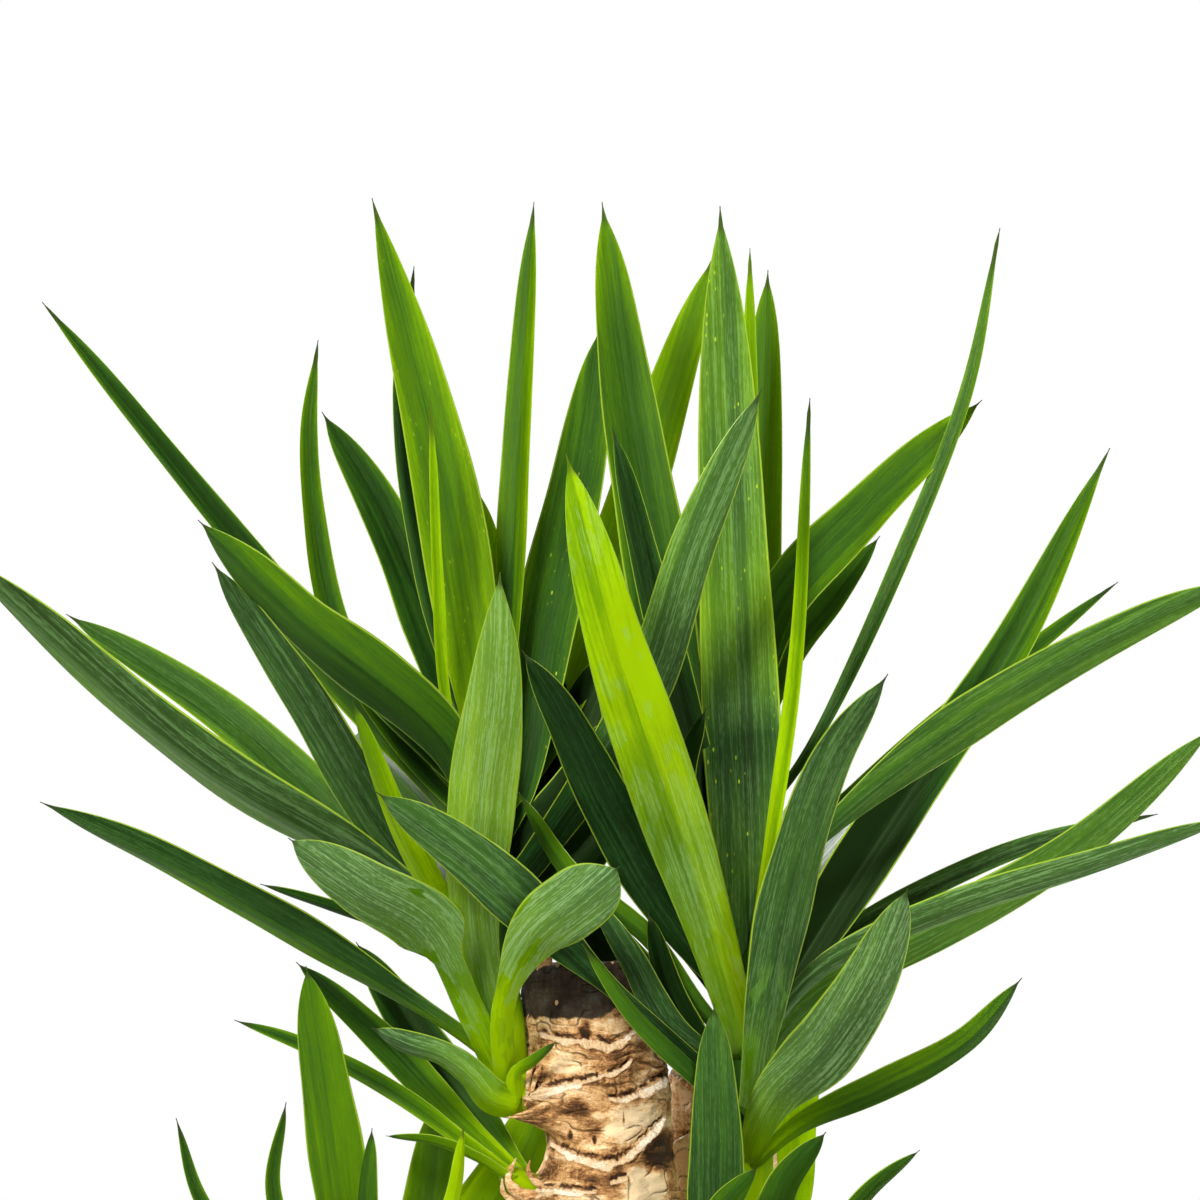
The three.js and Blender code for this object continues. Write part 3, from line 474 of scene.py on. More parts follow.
def smoothstep(value, low, high):
    share = np.clip((value - low) / (high - low), 0, 1)
    return share * share * (3 - 2 * share)


def unit(vectors):
    return vectors / np.linalg.norm(vectors, axis=-1, keepdims=True)


def seen(points):
    """Places as they look from the eye, moved out along the line of sight by their depth."""
    points = np.array(points, float)
    spread = 1 + points[:, 1] / EYE_DISTANCE
    height = EYE_HEIGHT + (points[:, 2] - EYE_HEIGHT) * spread
    return np.stack([points[:, 0] * spread, points[:, 1], height], axis=1)


def curve_through(points, shares, steps=40):
    """A centripetal curve through points: its places and directions at shares of its length."""
    ends = [2 * points[0] - points[1], *points, 2 * points[-1] - points[-2]]
    along = []
    for p0, p1, p2, p3 in zip(ends, ends[1:], ends[2:], ends[3:]):
        d0, d1, d2 = (np.linalg.norm(b - a) ** 0.5 for a, b in ((p0, p1), (p1, p2), (p2, p3)))
        leave = ((p1 - p0) / d0 - (p2 - p0) / (d0 + d1) + (p2 - p1) / d1) * d1
        arrive = ((p2 - p1) / d1 - (p3 - p1) / (d1 + d2) + (p3 - p2) / d2) * d1
        t = np.linspace(0, 1, steps, endpoint=False)[:, None]
        along.append(
            p1 + leave * t + (3 * (p2 - p1) - 2 * leave - arrive) * t**2
            + (2 * (p1 - p2) + leave + arrive) * t**3
        )
    places = np.concatenate([*along, [points[-1]]])
    reach = np.concatenate([[0], np.cumsum(np.linalg.norm(np.diff(places, axis=0), axis=1))])
    at = np.array([np.interp(shares * reach[-1], reach, places[:, axis]) for axis in range(3)]).T
    ahead = np.gradient(places, reach, axis=0)
    towards = np.array([np.interp(shares * reach[-1], reach, ahead[:, axis]) for axis in range(3)]).T
    return at, unit(towards), reach[-1]


def waves(shares, strength, count=4):
    """A slow random wave along a blade."""
    total = np.zeros_like(shares)
    for _ in range(count):
        height = random.uniform(0.3, 1)
        turns = random.uniform(1, 4.5) * shares + random.random()
        total += height * np.sin(2 * math.pi * turns)
    return strength * total / count


def turned_from(turns, angle):
    return (turns - angle + math.pi) % (2 * math.pi) - math.pi


def ripples(turns, heights, count, strength):
    """A random relief that closes round the cane."""
    total = np.zeros_like(turns)
    for _ in range(count):
        phase = random.integers(1, 14) * turns + heights / random.uniform(3, 26) + random.uniform(0, 6.3)
        total += np.sin(phase)
    return strength * total / math.sqrt(count)


def grown_noise(turns, heights, around, tall):
    """Smooth random values from -1 to 1, in cells that close round the cane: their count and height."""
    low = heights.min()
    values = random.uniform(-1, 1, (int((heights.max() - low) / tall) + 2, around))
    across, up = (turns / (2 * math.pi) % 1) * around, (heights - low) / tall
    column, row = np.floor(across).astype(int), np.floor(up).astype(int)
    beside, above = smoothstep(across - column, 0, 1), smoothstep(up - row, 0, 1)
    here, after = column % around, (column + 1) % around
    lower = between(values[row, here], values[row, after], beside)
    upper = between(values[row + 1, here], values[row + 1, after], beside)
    return between(lower, upper, above)


def lines_of(values, turns, heights, radius, width):
    """Thin lines, of an even width, where the values on a cane's rings change their sign."""
    up = np.gradient(values, axis=0) / np.gradient(heights, axis=0)
    aside = np.gradient(values, axis=1) / (np.gradient(turns, axis=1) * radius)
    away = np.abs(values) / (np.hypot(up, aside) + 0.02)
    return np.exp(-((away / width) ** 2))


# Objects and meshes

def placed(name, data):
    made = bpy.data.objects.new(name, data)
    bpy.context.scene.collection.objects.link(made)
    return made


class Shape:
    """Points, faces and named values of points, gathered from several parts."""

    def __init__(self):
        self.points, self.faces, self.values = [], [], {}
        self.count = 0

    def add(self, points, faces, **values):
        self.faces += [[corner + self.count for corner in face] for face in faces]
        self.points.append(points)
        for name in set(self.values) | set(values):
            earlier = self.values.setdefault(name, [np.zeros(self.count)] if self.count else [])
            earlier.append(np.broadcast_to(values.get(name, 0.0), len(points)).astype(float))
        self.count += len(points)

    def piece(self, name, node, slot, material):
        """The finished object, which rides on the plant's one body and stands for its node."""
        mesh = bpy.data.meshes.new(name)
        mesh.from_pydata((np.concatenate(self.points) * METRES).tolist(), [], self.faces)
        for value_name, parts in self.values.items():
            attribute = mesh.attributes.new(value_name, "FLOAT", "POINT")
            attribute.data.foreach_set("value", np.concatenate(parts))
        mesh.materials.append(material)
        mesh.polygons.foreach_set("use_smooth", [True] * len(self.faces))
        mesh.validate()
        piece = placed(name, mesh)
        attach(piece, BODY)
        if node:
            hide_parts(node)


def tube_faces(rows, sides):
    """Quads between rings of equal length, with a face over each end."""
    faces = []
    for row in range(rows - 1):
        for side in range(sides):
            a, b = row * sides + side, row * sides + (side + 1) % sides
            faces.append([a, b, b + sides, a + sides])
    faces.append(list(range(sides))[::-1])
    faces.append(list(range((rows - 1) * sides, rows * sides)))
    return faces


# Leaves

def width_share(shares, form):
    widest = form.get("widest", WIDEST)
    root = form.get("root", ROOT_SHARE)
    body = np.clip(shares / BLADE_END, 0, 1)
    rising = root + (1 - root) * smoothstep(body, form.get("neck", 0), widest)
    past = np.clip(body - widest, 0, None) / (1 - widest)
    falling = (1 - form.get("taper", TAPER) * past**TAPER_CURVE) * (1 - past ** form.get("tip", TIP_CLOSE))
    return np.where(body > widest, falling, rising)


def half_widths(form, shares, length):
    """Half the blade's width at its stations: wavy, and drawn out to a needle at the tip."""
    half = form["width"] / 2 * width_share(shares, form) * (1 + waves(shares, WIDTH_WAVE))
    return np.maximum(half, NEEDLE_HALF * np.clip((1 - shares) * length / NEEDLE_LENGTH, NEEDLE_TIP, 1))


def blade_axes(form, shares):
    """A blade's middle line, its sideways and upward directions, and its length."""
    middle, ahead, length = curve_through(seen(form["path"]), shares)
    turns = np.broadcast_to(form["turn"], 2)
    angle = np.radians(between(turns[0], turns[1], shares))[:, None]
    flat = unit(np.cross(ahead, TOWARDS_EYE))
    side = flat * np.cos(angle) + np.cross(ahead, flat) * np.sin(angle)
    return middle, side, np.cross(side, ahead), length


def blade_lift(form, shares, half):
    """How far a blade rises beside its midrib: its fold, and the waves of its two margins."""
    keel = np.sqrt(ACROSS**2 + KEEL_SOFTNESS**2) - KEEL_SOFTNESS
    left, right = waves(shares, WAVE_HEIGHT), waves(shares, WAVE_HEIGHT)
    rim = np.where(ACROSS[None] < 0, left[:, None], right[:, None]) * ACROSS**2 * (half / WAVE_WIDTH)[:, None]
    rim *= smoothstep(shares, *WAVE_FROM)[:, None]
    fold = form.get("fold", FOLD) * half
    return fold[:, None] * keel + rim


def blade_thickness(shares, length, half):
    fleshy = ROOT_THICKNESS * np.exp(-shares * length / ROOT_THINS)
    thick = (MIDRIB_THICKNESS + fleshy)[:, None] * (1 - ACROSS**2) + MARGIN_THICKNESS
    return np.minimum(thick, THICKEST * half[:, None]) * smoothstep(1 - shares, *TIP_THINS)[:, None]


def shade_along(form, shares):
    """A leaf's shade at shares of its length: its shades are set at even steps from root to tip."""
    shades = np.atleast_1d(form["shade"])
    return np.interp(shares * (len(shades) - 1), np.arange(len(shades)), shades)


def halves(form):
    """Painted light and shade: the tone added to each half of a blade, left and right of its way up, as seen
    from the front.
    """
    left, right = form.get("halves", (0, 0))
    turn = np.broadcast_to(form["turn"], 2)[0]
    facing = 1 if math.cos(math.radians(turn)) > 0 else -1
    return np.tile(between(left, right, smoothstep(AROUND * facing, -SHADED_HALVES_MEET, SHADED_HALVES_MEET)), STATIONS)


def add_blade(shape, form):
    """A closed blade: upper side, margins and underside in one ring of points at each station."""
    shares = 1 - (1 - np.linspace(0, 1, STATIONS)) ** STATION_CROWDING
    middle, side, upper, length = blade_axes(form, shares)
    half = half_widths(form, shares, length)
    needle = smoothstep(half, 2 * NEEDLE_HALF, NEEDLE_HALF) * smoothstep(shares, *NEEDLE_FROM)
    lift = blade_lift(form, shares, half)
    thick = blade_thickness(shares, length, half)
    centre = middle[:, None] + side[:, None] * (half[:, None] * ACROSS)[..., None]
    top = centre + upper[:, None] * (lift + thick / 2)[..., None]
    under = centre + upper[:, None] * (lift - thick / 2)[..., None]
    rings = np.concatenate([top, under[:, -2:0:-1]], axis=1)
    sides = len(AROUND)
    shape.add(
        rings.reshape(-1, 3),
        [face[::-1] for face in tube_faces(STATIONS, sides)],
        across=np.tile(AROUND, STATIONS),
        below=np.tile(np.arange(sides) >= len(ACROSS), STATIONS),
        along=np.repeat(shares, sides),
        length=length / TEXTURE_LENGTH,
        breadth=np.repeat(half / TEXTURE_WIDTH, sides),
        shade=np.repeat(shade_along(form, shares), sides) + random.uniform(-SHADE_SPREAD, SHADE_SPREAD),
        pale=form.get("pale", 0),
        wet=form.get("wet", 0),
        dots=form.get("dots", 0),
        # Painted light and shade on the two sides of the blade
        half=halves(form),
        needle=np.repeat(needle, sides),
        seed=random.uniform(0, SEEDS),
    )


def ruled_leaves(stem, rule):
    """Arching leaves set round a stem by the golden share of an arc, from the lowest to the highest."""
    x, y, _ = stem[-1]
    made = []
    for i in range(rule["count"]):
        level = i / (rule["count"] - 1)
        root, reach, width, climb, sag = (
            between(*rule[name], level) for name in ("levels", "length", "width", "rise", "droop")
        )
        azimuth = math.radians(between(rule["start"], rule["end"], (rule["seed"] + i * GOLDEN_SHARE) % 1))
        path = []
        for share in ARCH_SHARES:
            out = reach * share * math.cos(math.radians(climb))
            up = reach * share * math.sin(math.radians(climb)) + sag * share * (1 - DROOP_CURVE * share)
            path.append([x + out * math.cos(azimuth), y + out * math.sin(azimuth), root + up])
        facing = 0 if math.sin(azimuth) > 0 else 180
        shade = [random.choice([DARK, GREEN]), random.choice([GREEN, MID, FRESH])]
        made.append(leaf(path, width, facing - SIDE_TURN * math.cos(azimuth), shade))
    return made


def add_stem(shape, stem, radius):
    """A round stem that closes at its tip, lime at its foot and darker above, as painted shade among the
    leaves.
    """
    shares = np.linspace(0, 1, STEM_ROWS)
    middle, ahead, length = curve_through(seen(stem), shares)
    side = unit(np.cross(ahead, TOWARDS_EYE))
    front = np.cross(side, ahead)
    angle = np.linspace(0, 2 * math.pi, STEM_SIDES, endpoint=False)
    reach = between(radius[0], radius[1], shares) * (1 - smoothstep(shares, *STEM_ENDS))
    around = side[:, None] * -np.cos(angle)[None, :, None] + front[:, None] * np.sin(angle)[None, :, None]
    points = middle[:, None] + around * reach[:, None, None]
    shape.add(
        points.reshape(-1, 3),
        tube_faces(STEM_ROWS, STEM_SIDES),
        across=np.tile(np.sin(angle) * STEM_ACROSS, STEM_ROWS),
        along=np.repeat(shares * STEM_ALONG, STEM_SIDES),
        length=length / TEXTURE_LENGTH,
        breadth=radius[0] / TEXTURE_WIDTH,
        shade=np.repeat(between(LIME, DARK, smoothstep(shares * length, *STEM_DARKENS)), STEM_SIDES),
        seed=STEM_SEED,
    )


# Canes

def spine_at(spine, heights):
    """A cane's axis and radius at heights."""
    rows = np.array(spine, float)
    after = np.clip(np.searchsorted(rows[:, 0], heights), 1, len(rows) - 1)
    low, high = rows[after - 1], rows[after]
    share = smoothstep(heights, low[..., 0], high[..., 0])[..., None]
    return np.moveaxis(between(low, high, share)[..., 1:], -1, 0)


def pictured_scars(spine):
    """The scars seen in the picture, as rows of turn round the cane, height and the band's thickness."""
    scars = []
    for scar in PICTURED_SCARS:
        x, height, thick = np.array(scar, float).T
        middle, _, radius = spine_at(spine, height)
        scars.append((FRONT + np.arcsin(np.clip((x - middle) / radius, -EDGE_ON, EDGE_ON)), height, thick))
    return scars


def grown_scars(name, cane):
    """Scars that wind up a cane by a rule, in the same rows, save where the picture shows its own."""
    scars, scar, z = [], 0, SOIL_LEVEL + SCARS_START
    off = np.linspace(-1, 1, SCAR_POINTS)
    while z < cane["spine"][-1][0] - cane["sealed"] - SCARS_STOP:
        angle = (scar * SCAR_TURN + cane["turn"]) % (2 * math.pi) - math.pi
        spread, sag, slope = random.uniform(0.8, 1.3), random.uniform(2, 12), random.uniform(-7, 9)
        thick = random.uniform(2.6, 5.6) * (1 - 0.6 * np.abs(off))
        height = z + sag * off**2 + slope * off + random.normal(0, 0.7, SCAR_POINTS)
        beside = abs(turned_from(angle, FRONT)) < PICTURED_SPREAD
        if not (name == PICTURED_CANE and z > PICTURED_FROM and beside):
            scars.append((angle + off * spread, height, thick))
        scar += 1
        z += SCAR_PITCH * random.uniform(0.8, 1.2)
    return scars


def rows_of(cane):
    """Heights of a cane's rings: close where the bark is seen well, wider apart below."""
    top = cane["spine"][-1][0] - CUT_BELOW
    lower = np.arange(CANE_SUNK, cane["fine_from"], cane["step"])
    return np.concatenate([lower, np.arange(cane["fine_from"], top, cane["fine_step"]), [top]])


class Bark:
    """A cane's bark in plates, as its reach from the axis and masks for its colours, at all its points."""

    def __init__(self, name, cane):
        self.cane, self.top = cane, cane["spine"][-1][0]
        even = np.linspace(-math.pi, math.pi, cane["columns"], endpoint=False)
        self.turns, self.heights = np.meshgrid(FRONT + even - FRONT_CROWDING * np.sin(even), rows_of(cane))
        self.x, self.y, self.radius = spine_at(cane["spine"], self.heights)
        turns, heights = self.turns, self.heights
        lumps = LUMPS * np.sin(2 * turns + heights / LUMP_LENGTH + cane["turn"])
        self.reach = self.radius * (1 + lumps) - BARK_SUNK
        self.reach = self.reach + ripples(turns, heights, 14, 0.35) + ripples(turns, heights * 4, 12, 0.14)
        self.crumbs = ripples(turns * 7, heights * 9, 12, 0.5)
        self.tears = 1.1 * grown_noise(turns, heights, 60, 4.0)
        self.patchy = smoothstep(ripples(turns * 2, heights * 3, 10, 1.0), -1.2, 0.8)
        self.scar, self.groove, self.worn = (np.zeros_like(turns) for _ in range(3))
        self.light = np.full_like(turns, cane["lightness"])
        pictured = name == PICTURED_CANE
        self.carve((pictured_scars(cane["spine"]) if pictured else []) + grown_scars(name, cane))
        if pictured:
            self.paint_plates_and_shadows()
        for bough in cane["boughs"]:
            self.swell(*bough)
        self.seal()

    def carve(self, scars):
        """All the scars, then creases between them, which follow the scars beside them."""
        shift, weights = np.zeros_like(self.turns), np.full_like(self.turns, 0.3)
        for angles, levels, thicks in scars:
            middle = (angles[0] + angles[-1]) / 2
            off, reached = turned_from(self.turns, middle), angles - middle
            line = np.interp(off, reached, levels) + 0.25 * self.crumbs + 0.5 * self.tears
            half = 0.5 * np.interp(off, reached, thicks) * (1 + 0.3 * self.crumbs - 0.5 * self.tears)
            window = smoothstep(np.abs(off), 1.12 * reached[-1], 0.9 * reached[-1])
            rise = self.heights - line
            self.carve_scar(rise, half, window)
            near = window * np.exp(-np.abs(rise) / WEAR_AND_SHADE_ABOVE)
            shift += near * (line - levels.mean())
            weights += near
        self.reach += (0.35 * self.crumbs + 0.5 * grown_noise(self.turns, self.heights, 260, 0.9)) * self.scar
        self.crease_along(self.heights - shift / weights)

    def carve_scar(self, rise, half, window):
        """A pale band: a ledge with a dark crevice over it, a fine undercut, and weathered bark about it that
        is painted darker as shade.
        """
        below, beside = np.exp((rise + half) / LEDGE_FADES), smoothstep(rise, half + 0.4, -half)
        ledge = np.where(rise < -half, below, beside)
        crevice = np.exp(-((rise - half - 0.7) / CREVICE_HALF) ** 2) * (0.35 + 0.65 * self.patchy)
        undercut = np.exp(-((rise + half + 0.5) / UNDERCUT_HALF) ** 2) * (1.1 - self.patchy)
        relief = LEDGE_PROUD * ledge - CREVICE_DEPTH * crevice - UNDERCUT_DEPTH * undercut
        self.reach = self.reach + window * relief
        band = smoothstep(np.abs(rise), half + 0.4, 0.35 * half)
        self.scar = np.maximum(self.scar, band * window)
        # The crevice and the undercut are also painted dark, as shade
        self.groove = np.maximum(self.groove, np.maximum(crevice, 0.25 * undercut) * window)
        # Wear and painted shade fade from the band: slowly up the shaded foot of the plate above it, quickly
        # down the plate below
        fading = np.exp(-np.maximum(rise / WEAR_AND_SHADE_ABOVE, -rise / WEAR_AND_SHADE_BELOW))
        self.worn = np.maximum(self.worn, fading * window)

    def crease_along(self, level):
        """Folds and wrinkles that run along levels bent by the scars, with creases between them."""
        turns, heights, radius = self.turns, self.heights, self.radius
        self.folds, wrinkles = grown_noise(turns, level, 16, 4.2), grown_noise(turns, level, 44, 2.2)
        kept = smoothstep(grown_noise(turns, heights, 22, 7.0), -0.5, 0.6)
        crease = kept * lines_of(self.folds, turns, heights, radius, 0.5)
        crease = np.maximum(crease, 0.6 * self.worn * kept * lines_of(wrinkles, turns, heights, radius, 0.4))
        self.crease = crease * (1 - self.scar)
        self.reach += FOLD_HEIGHT * self.folds + WRINKLE_HEIGHT * wrinkles - CREASE_DEPTH * self.crease

    def paint_plates_and_shadows(self):
        """The smooth pale plates and brown places of wear of the picture, with its painted shadows and painted
        highlight.
        """
        facing = np.cos(turned_from(self.turns, FRONT)) > 0
        across = self.x + self.reach * np.cos(self.turns)
        across, heights = across + self.tears, self.heights + self.tears
        for at, level, wide, tall, lightness in PICTURED_PATCHES:
            spot = ((across - at) / wide) ** 2 + ((heights - level) / tall) ** 2
            self.light += facing * lightness * np.exp(-(spot**2))

    def swell(self, angle, z, height, wide):
        """A bough's foot: a swelling with pleats that run in to it."""
        aside = turned_from(self.turns, angle) * self.radius / wide
        along = (self.heights - z) / np.where(self.heights > z, 0.85 * wide, 0.55 * wide)
        swell = np.exp(-((aside**2 + along**2) ** 0.7))
        pleat = np.sin(8 * np.arctan2(along, aside) + 3 * self.folds)
        self.reach += height * swell + PLEAT_HEIGHT * pleat * np.sqrt(swell * (1 - swell))
        self.crease = np.maximum(self.crease, smoothstep(-pleat, 0.5, 1.0) * smoothstep(swell, 0.1, 0.5))

    def seal(self):
        """The cut top: weathered and darker below, dark down to a slanted edge, rounded and ragged at its edge.
        """
        turns, heights, top = self.turns, self.heights, self.top

        def near_top(low, high):
            return smoothstep(heights, top - low, top - high)

        self.worn = np.maximum(self.worn, near_top(*WEAR_AND_SHADE_TOP))
        slant = CAP_SLANT * smoothstep(np.sin(turns - FRONT), 0, 0.7)
        foot = top - self.cane["sealed"] * (1 - slant) + 0.6 * self.crumbs + self.tears
        self.cap = smoothstep(heights - foot, -0.7, 0.7) * (self.cane["sealed"] > 0)
        self.reach += CAP_HEIGHT * self.cap - CUT_ROUNDED * near_top(*ROUND_TOP)
        self.ragged = RAGGED * near_top(*RAGGED_TOP) * (0.4 + grown_noise(turns, heights, 44, 5.0))

    def add_to(self, shape):
        """The rings of the bark, and smaller ones that close the cut top."""
        columns = self.cane["columns"]
        across, deep = self.reach * np.cos(self.turns), self.reach * np.sin(self.turns)
        points = np.stack([self.x + across, self.y + deep, self.heights + self.ragged], axis=-1)
        points = points.reshape(-1, 3)
        rings, edge = [points], points[-columns:]
        middle = np.array([self.x[-1, 0], self.y[-1, 0], 0])
        for share, up in CUT_RINGS:
            ring = middle + (edge - middle) * [share, share, 1]
            ring[:, 2] = self.top - CUT_BELOW + up + 0.5 * np.sin(5 * self.turns[0] + 9 * share)
            rings.append(ring)
        masks = {
            key: np.concatenate([getattr(self, key).ravel(), np.full(columns * len(CUT_RINGS), float(cut))])
            for key, cut in CUT_MASKS.items()
        }
        shape.add(np.concatenate(rings), tube_faces(len(self.heights) + len(CUT_RINGS), columns), **masks)


def add_strip(shape, path, width):
    """A strip of torn bark: wide and sunk in the bark at its foot, curled, and drawn out to its tip."""
    shares = np.linspace(0, 1, STRIP_STATIONS)
    middle, ahead, _ = curve_through(seen(path), shares)
    side = unit(np.cross(ahead, TOWARDS_EYE))
    out = np.cross(side, ahead)
    outline = (1 - shares**1.6) * smoothstep(shares, -0.25, 0.3)
    half = 0.5 * width * outline * (1 + waves(shares, 0.5)) + STRIP_LEAST
    twist = 0.4 * waves(shares, 1.0)
    curl = -STRIP_CURL * half[:, None] * STRIP_ACROSS**2 + twist[:, None] * STRIP_ACROSS
    flat = middle[:, None] + side[:, None] * (half[:, None] * STRIP_ACROSS)[..., None]
    top = flat + out[:, None] * curl[..., None]
    under = top - out[:, None] * STRIP_THICKNESS * (1 - 0.6 * np.abs(STRIP_ACROSS))[None, :, None]
    rings = np.concatenate([top, under[:, ::-1]], axis=1)
    faces = [face[::-1] for face in tube_faces(STRIP_STATIONS, 2 * len(STRIP_ACROSS))]
    frayed = np.tile(np.abs(STRIP_ACROSS), 2 * STRIP_STATIONS)
    shape.add(rings.reshape(-1, 3), faces, scar=0.0, groove=0.35 * frayed, light=0.5, worn=0.3)


# Pot and soil

def pot_radius(z):
    return between(POT_BASE_RADIUS, POT_TOP_RADIUS, z / POT_HEIGHT)


def add_pot(shape):
    """The wall and its rolled rim, turned from an outline that closes over the floor."""
    rim_foot = POT_HEIGHT - RIM_HEIGHT
    outer = [(pot_radius(z), z) for z in np.linspace(POT_FLOOR, rim_foot - 3, 24)]
    under = [(pot_radius(rim_foot) + out, rim_foot + up) for out, up in RIM_UNDER]
    over = [(POT_TOP_RADIUS + out, POT_HEIGHT + up) for out, up in RIM_OVER]
    inner = [(pot_radius(z) - POT_WALL, z) for z in np.linspace(POT_HEIGHT - 6, POT_FLOOR, 12)]
    floor_rings = [(radius, POT_FLOOR) for radius in FLOOR_RADII]
    outline = np.array([*POT_FOOT, *outer, *under, *over, *inner, *floor_rings])
    angle = np.linspace(0, 2 * math.pi, POT_COLUMNS, endpoint=False)
    radius, height = outline[:, :1], np.repeat(outline[:, 1:], POT_COLUMNS, axis=1)
    points = np.stack([radius * np.cos(angle), radius * np.sin(angle), height], axis=-1)
    shape.add(points.reshape(-1, 3), tube_faces(len(outline), POT_COLUMNS))


def add_soil(shape):
    """A rough dome of potting mix, with crumbs, bark chips and a few white grains lying on it."""
    top_radius = pot_radius(SOIL_LEVEL) - POT_WALL - SOIL_CLEAR
    angle = np.linspace(0, 2 * math.pi, SOIL_COLUMNS, endpoint=False)
    radius, turn = np.meshgrid(np.linspace(0.004, 1, SOIL_RINGS) * top_radius, angle, indexing="ij")
    x, y = radius * np.cos(turn), radius * np.sin(turn)
    height = SOIL_LEVEL + SOIL_PROUD - SOIL_DOME * (radius / top_radius) ** 3
    for _ in range(SWELLS):
        size = random.uniform(*SWELL_SIZES)
        heading, phase = random.uniform(0, 2 * math.pi), random.uniform(0, 6.3)
        along = (x * math.cos(heading) + y * math.sin(heading)) / size
        height = height + SWELL_HEIGHT * size**0.7 * np.sin(along + phase)
    points = np.stack([x, y, height], axis=-1).reshape(-1, 3)
    skirt = points[-SOIL_COLUMNS:].copy()
    skirt[:, :2] *= 0.9
    skirt[:, 2] = SOIL_LEVEL - SOIL_SKIRT
    shape.add(np.concatenate([points, skirt]), tube_faces(SOIL_RINGS + 1, SOIL_COLUMNS), grain=0.0)
    for _ in range(CRUMBS):
        add_crumb(shape, top_radius)


def add_crumb(shape, top_radius):
    """An eight-sided crumb of mix or a white grain, anywhere on the soil but in a cane."""
    out = top_radius * math.sqrt(random.random()) * CRUMB_REACH
    about = random.uniform(0, 2 * math.pi)
    height = SOIL_LEVEL + CRUMB_PROUD - SOIL_DOME * (out / top_radius) ** 3
    place = np.array([out * math.cos(about), out * math.sin(about), height])
    white = random.random() < WHITE_SHARE
    size = random.uniform(*(WHITE_SIZES if white else CRUMB_SIZES))
    flat = np.array([1, random.uniform(0.5, 1), random.uniform(0.35, 0.8)]) * size
    feet = (spine_at(cane["spine"], np.array(SOIL_LEVEL)) for cane in CANES.values())
    if any(math.hypot(place[0] - x, place[1] - y) < radius + size for x, y, radius in feet):
        return
    turned, _ = np.linalg.qr(random.normal(size=(3, 3)))
    chunk = (CRUMB_CORNERS * random.uniform(0.7, 1.15, (6, 1)) * flat) @ turned.T + place
    shape.add(chunk, CRUMB_SIDES, grain=1.0 if white else random.uniform(0.05, 0.6))


# Materials

class Graph:
    """Short calls for building the nodes of a material or a world."""

    def __init__(self, owner):
        owner.use_nodes = True
        self.owner, self.tree = owner, owner.node_tree
        self.tree.nodes.clear()

    def node(self, kind, inputs=None, **settings):
        made = self.tree.nodes.new(kind)
        for key, value in settings.items():
            setattr(made, key, value)
        for key, value in (inputs or {}).items():
            if isinstance(value, bpy.types.NodeSocket):
                self.tree.links.new(value, made.inputs[key])
            elif value is not None:
                made.inputs[key].default_value = value
        return made

    def value(self, name):
        return self.node("ShaderNodeAttribute", attribute_name=name).outputs["Fac"]

    def place(self):
        return self.node("ShaderNodeTexCoord").outputs["Object"]

    def vector(self, x, y, z):
        return self.node("ShaderNodeCombineXYZ", {"X": x, "Y": y, "Z": z}).outputs[0]

    def mapped(self, place, up, lean=0.0):
        """Places leant about the depth axis, then scaled in height."""
        inputs = {"Vector": place, "Rotation": (0.0, math.radians(lean), 0.0), "Scale": (1, 1, up)}
        return self.node("ShaderNodeMapping", inputs).outputs[0]

    def math(self, operation, a, b=None, c=None):
        return self.node("ShaderNodeMath", {0: a, 1: b, 2: c}, operation=operation).outputs[0]

    def times(self, a, b):
        return self.math("MULTIPLY", a, b)

    def vary(self, value, noise, amount):
        """A value raised and lowered by a noise about its middle."""
        return self.math("MULTIPLY_ADD", self.math("SUBTRACT", noise, 0.5), amount, value)

    def step(self, value, low, high, to_low=0.0, to_high=1.0):
        inputs = {"Value": value, "From Min": low, "From Max": high, "To Min": to_low, "To Max": to_high}
        return self.node("ShaderNodeMapRange", inputs, interpolation_type="SMOOTHSTEP").outputs["Result"]

    def mix(self, share, a, b):
        made = self.node("ShaderNodeMix", {"Factor": share}, data_type="RGBA")
        for socket, value in zip((made.inputs[6], made.inputs[7]), (a, b)):
            if isinstance(value, bpy.types.NodeSocket):
                self.tree.links.new(value, socket)
            else:
                socket.default_value = (*value, 1)
        return made.outputs[2]

    def noise(self, place, scale, detail=3.0, roughness=0.55, swirl=0.0):
        inputs = {"Vector": place, "Scale": scale, "Detail": detail, "Roughness": roughness}
        return self.node("ShaderNodeTexNoise", inputs | {"Distortion": swirl}).outputs["Fac"]

    def ramp(self, share, stops):
        made = self.node("ShaderNodeValToRGB", {"Fac": share})
        elements = made.color_ramp.elements
        while len(elements) < len(stops):
            elements.new(0.5)
        for element, (position, colour) in zip(elements, stops):
            element.position = position
            element.color = (*colour, 1)
        return made.outputs["Color"]

    def bump(self, height, strength, distance, normal=None):
        inputs = {"Height": height, "Strength": strength, "Distance": distance, "Normal": normal}
        return self.node("ShaderNodeBump", inputs).outputs["Normal"]

    def surface(self, colour, roughness, normal, gloss, **more):
        inputs = {"Base Color": colour, "Roughness": roughness, "Normal": normal, "Specular IOR Level": gloss}
        return self.node("ShaderNodeBsdfPrincipled", inputs | more).outputs[0]

    def finish(self, shader):
        self.node("ShaderNodeOutputMaterial", {"Surface": shader})
        return self.owner


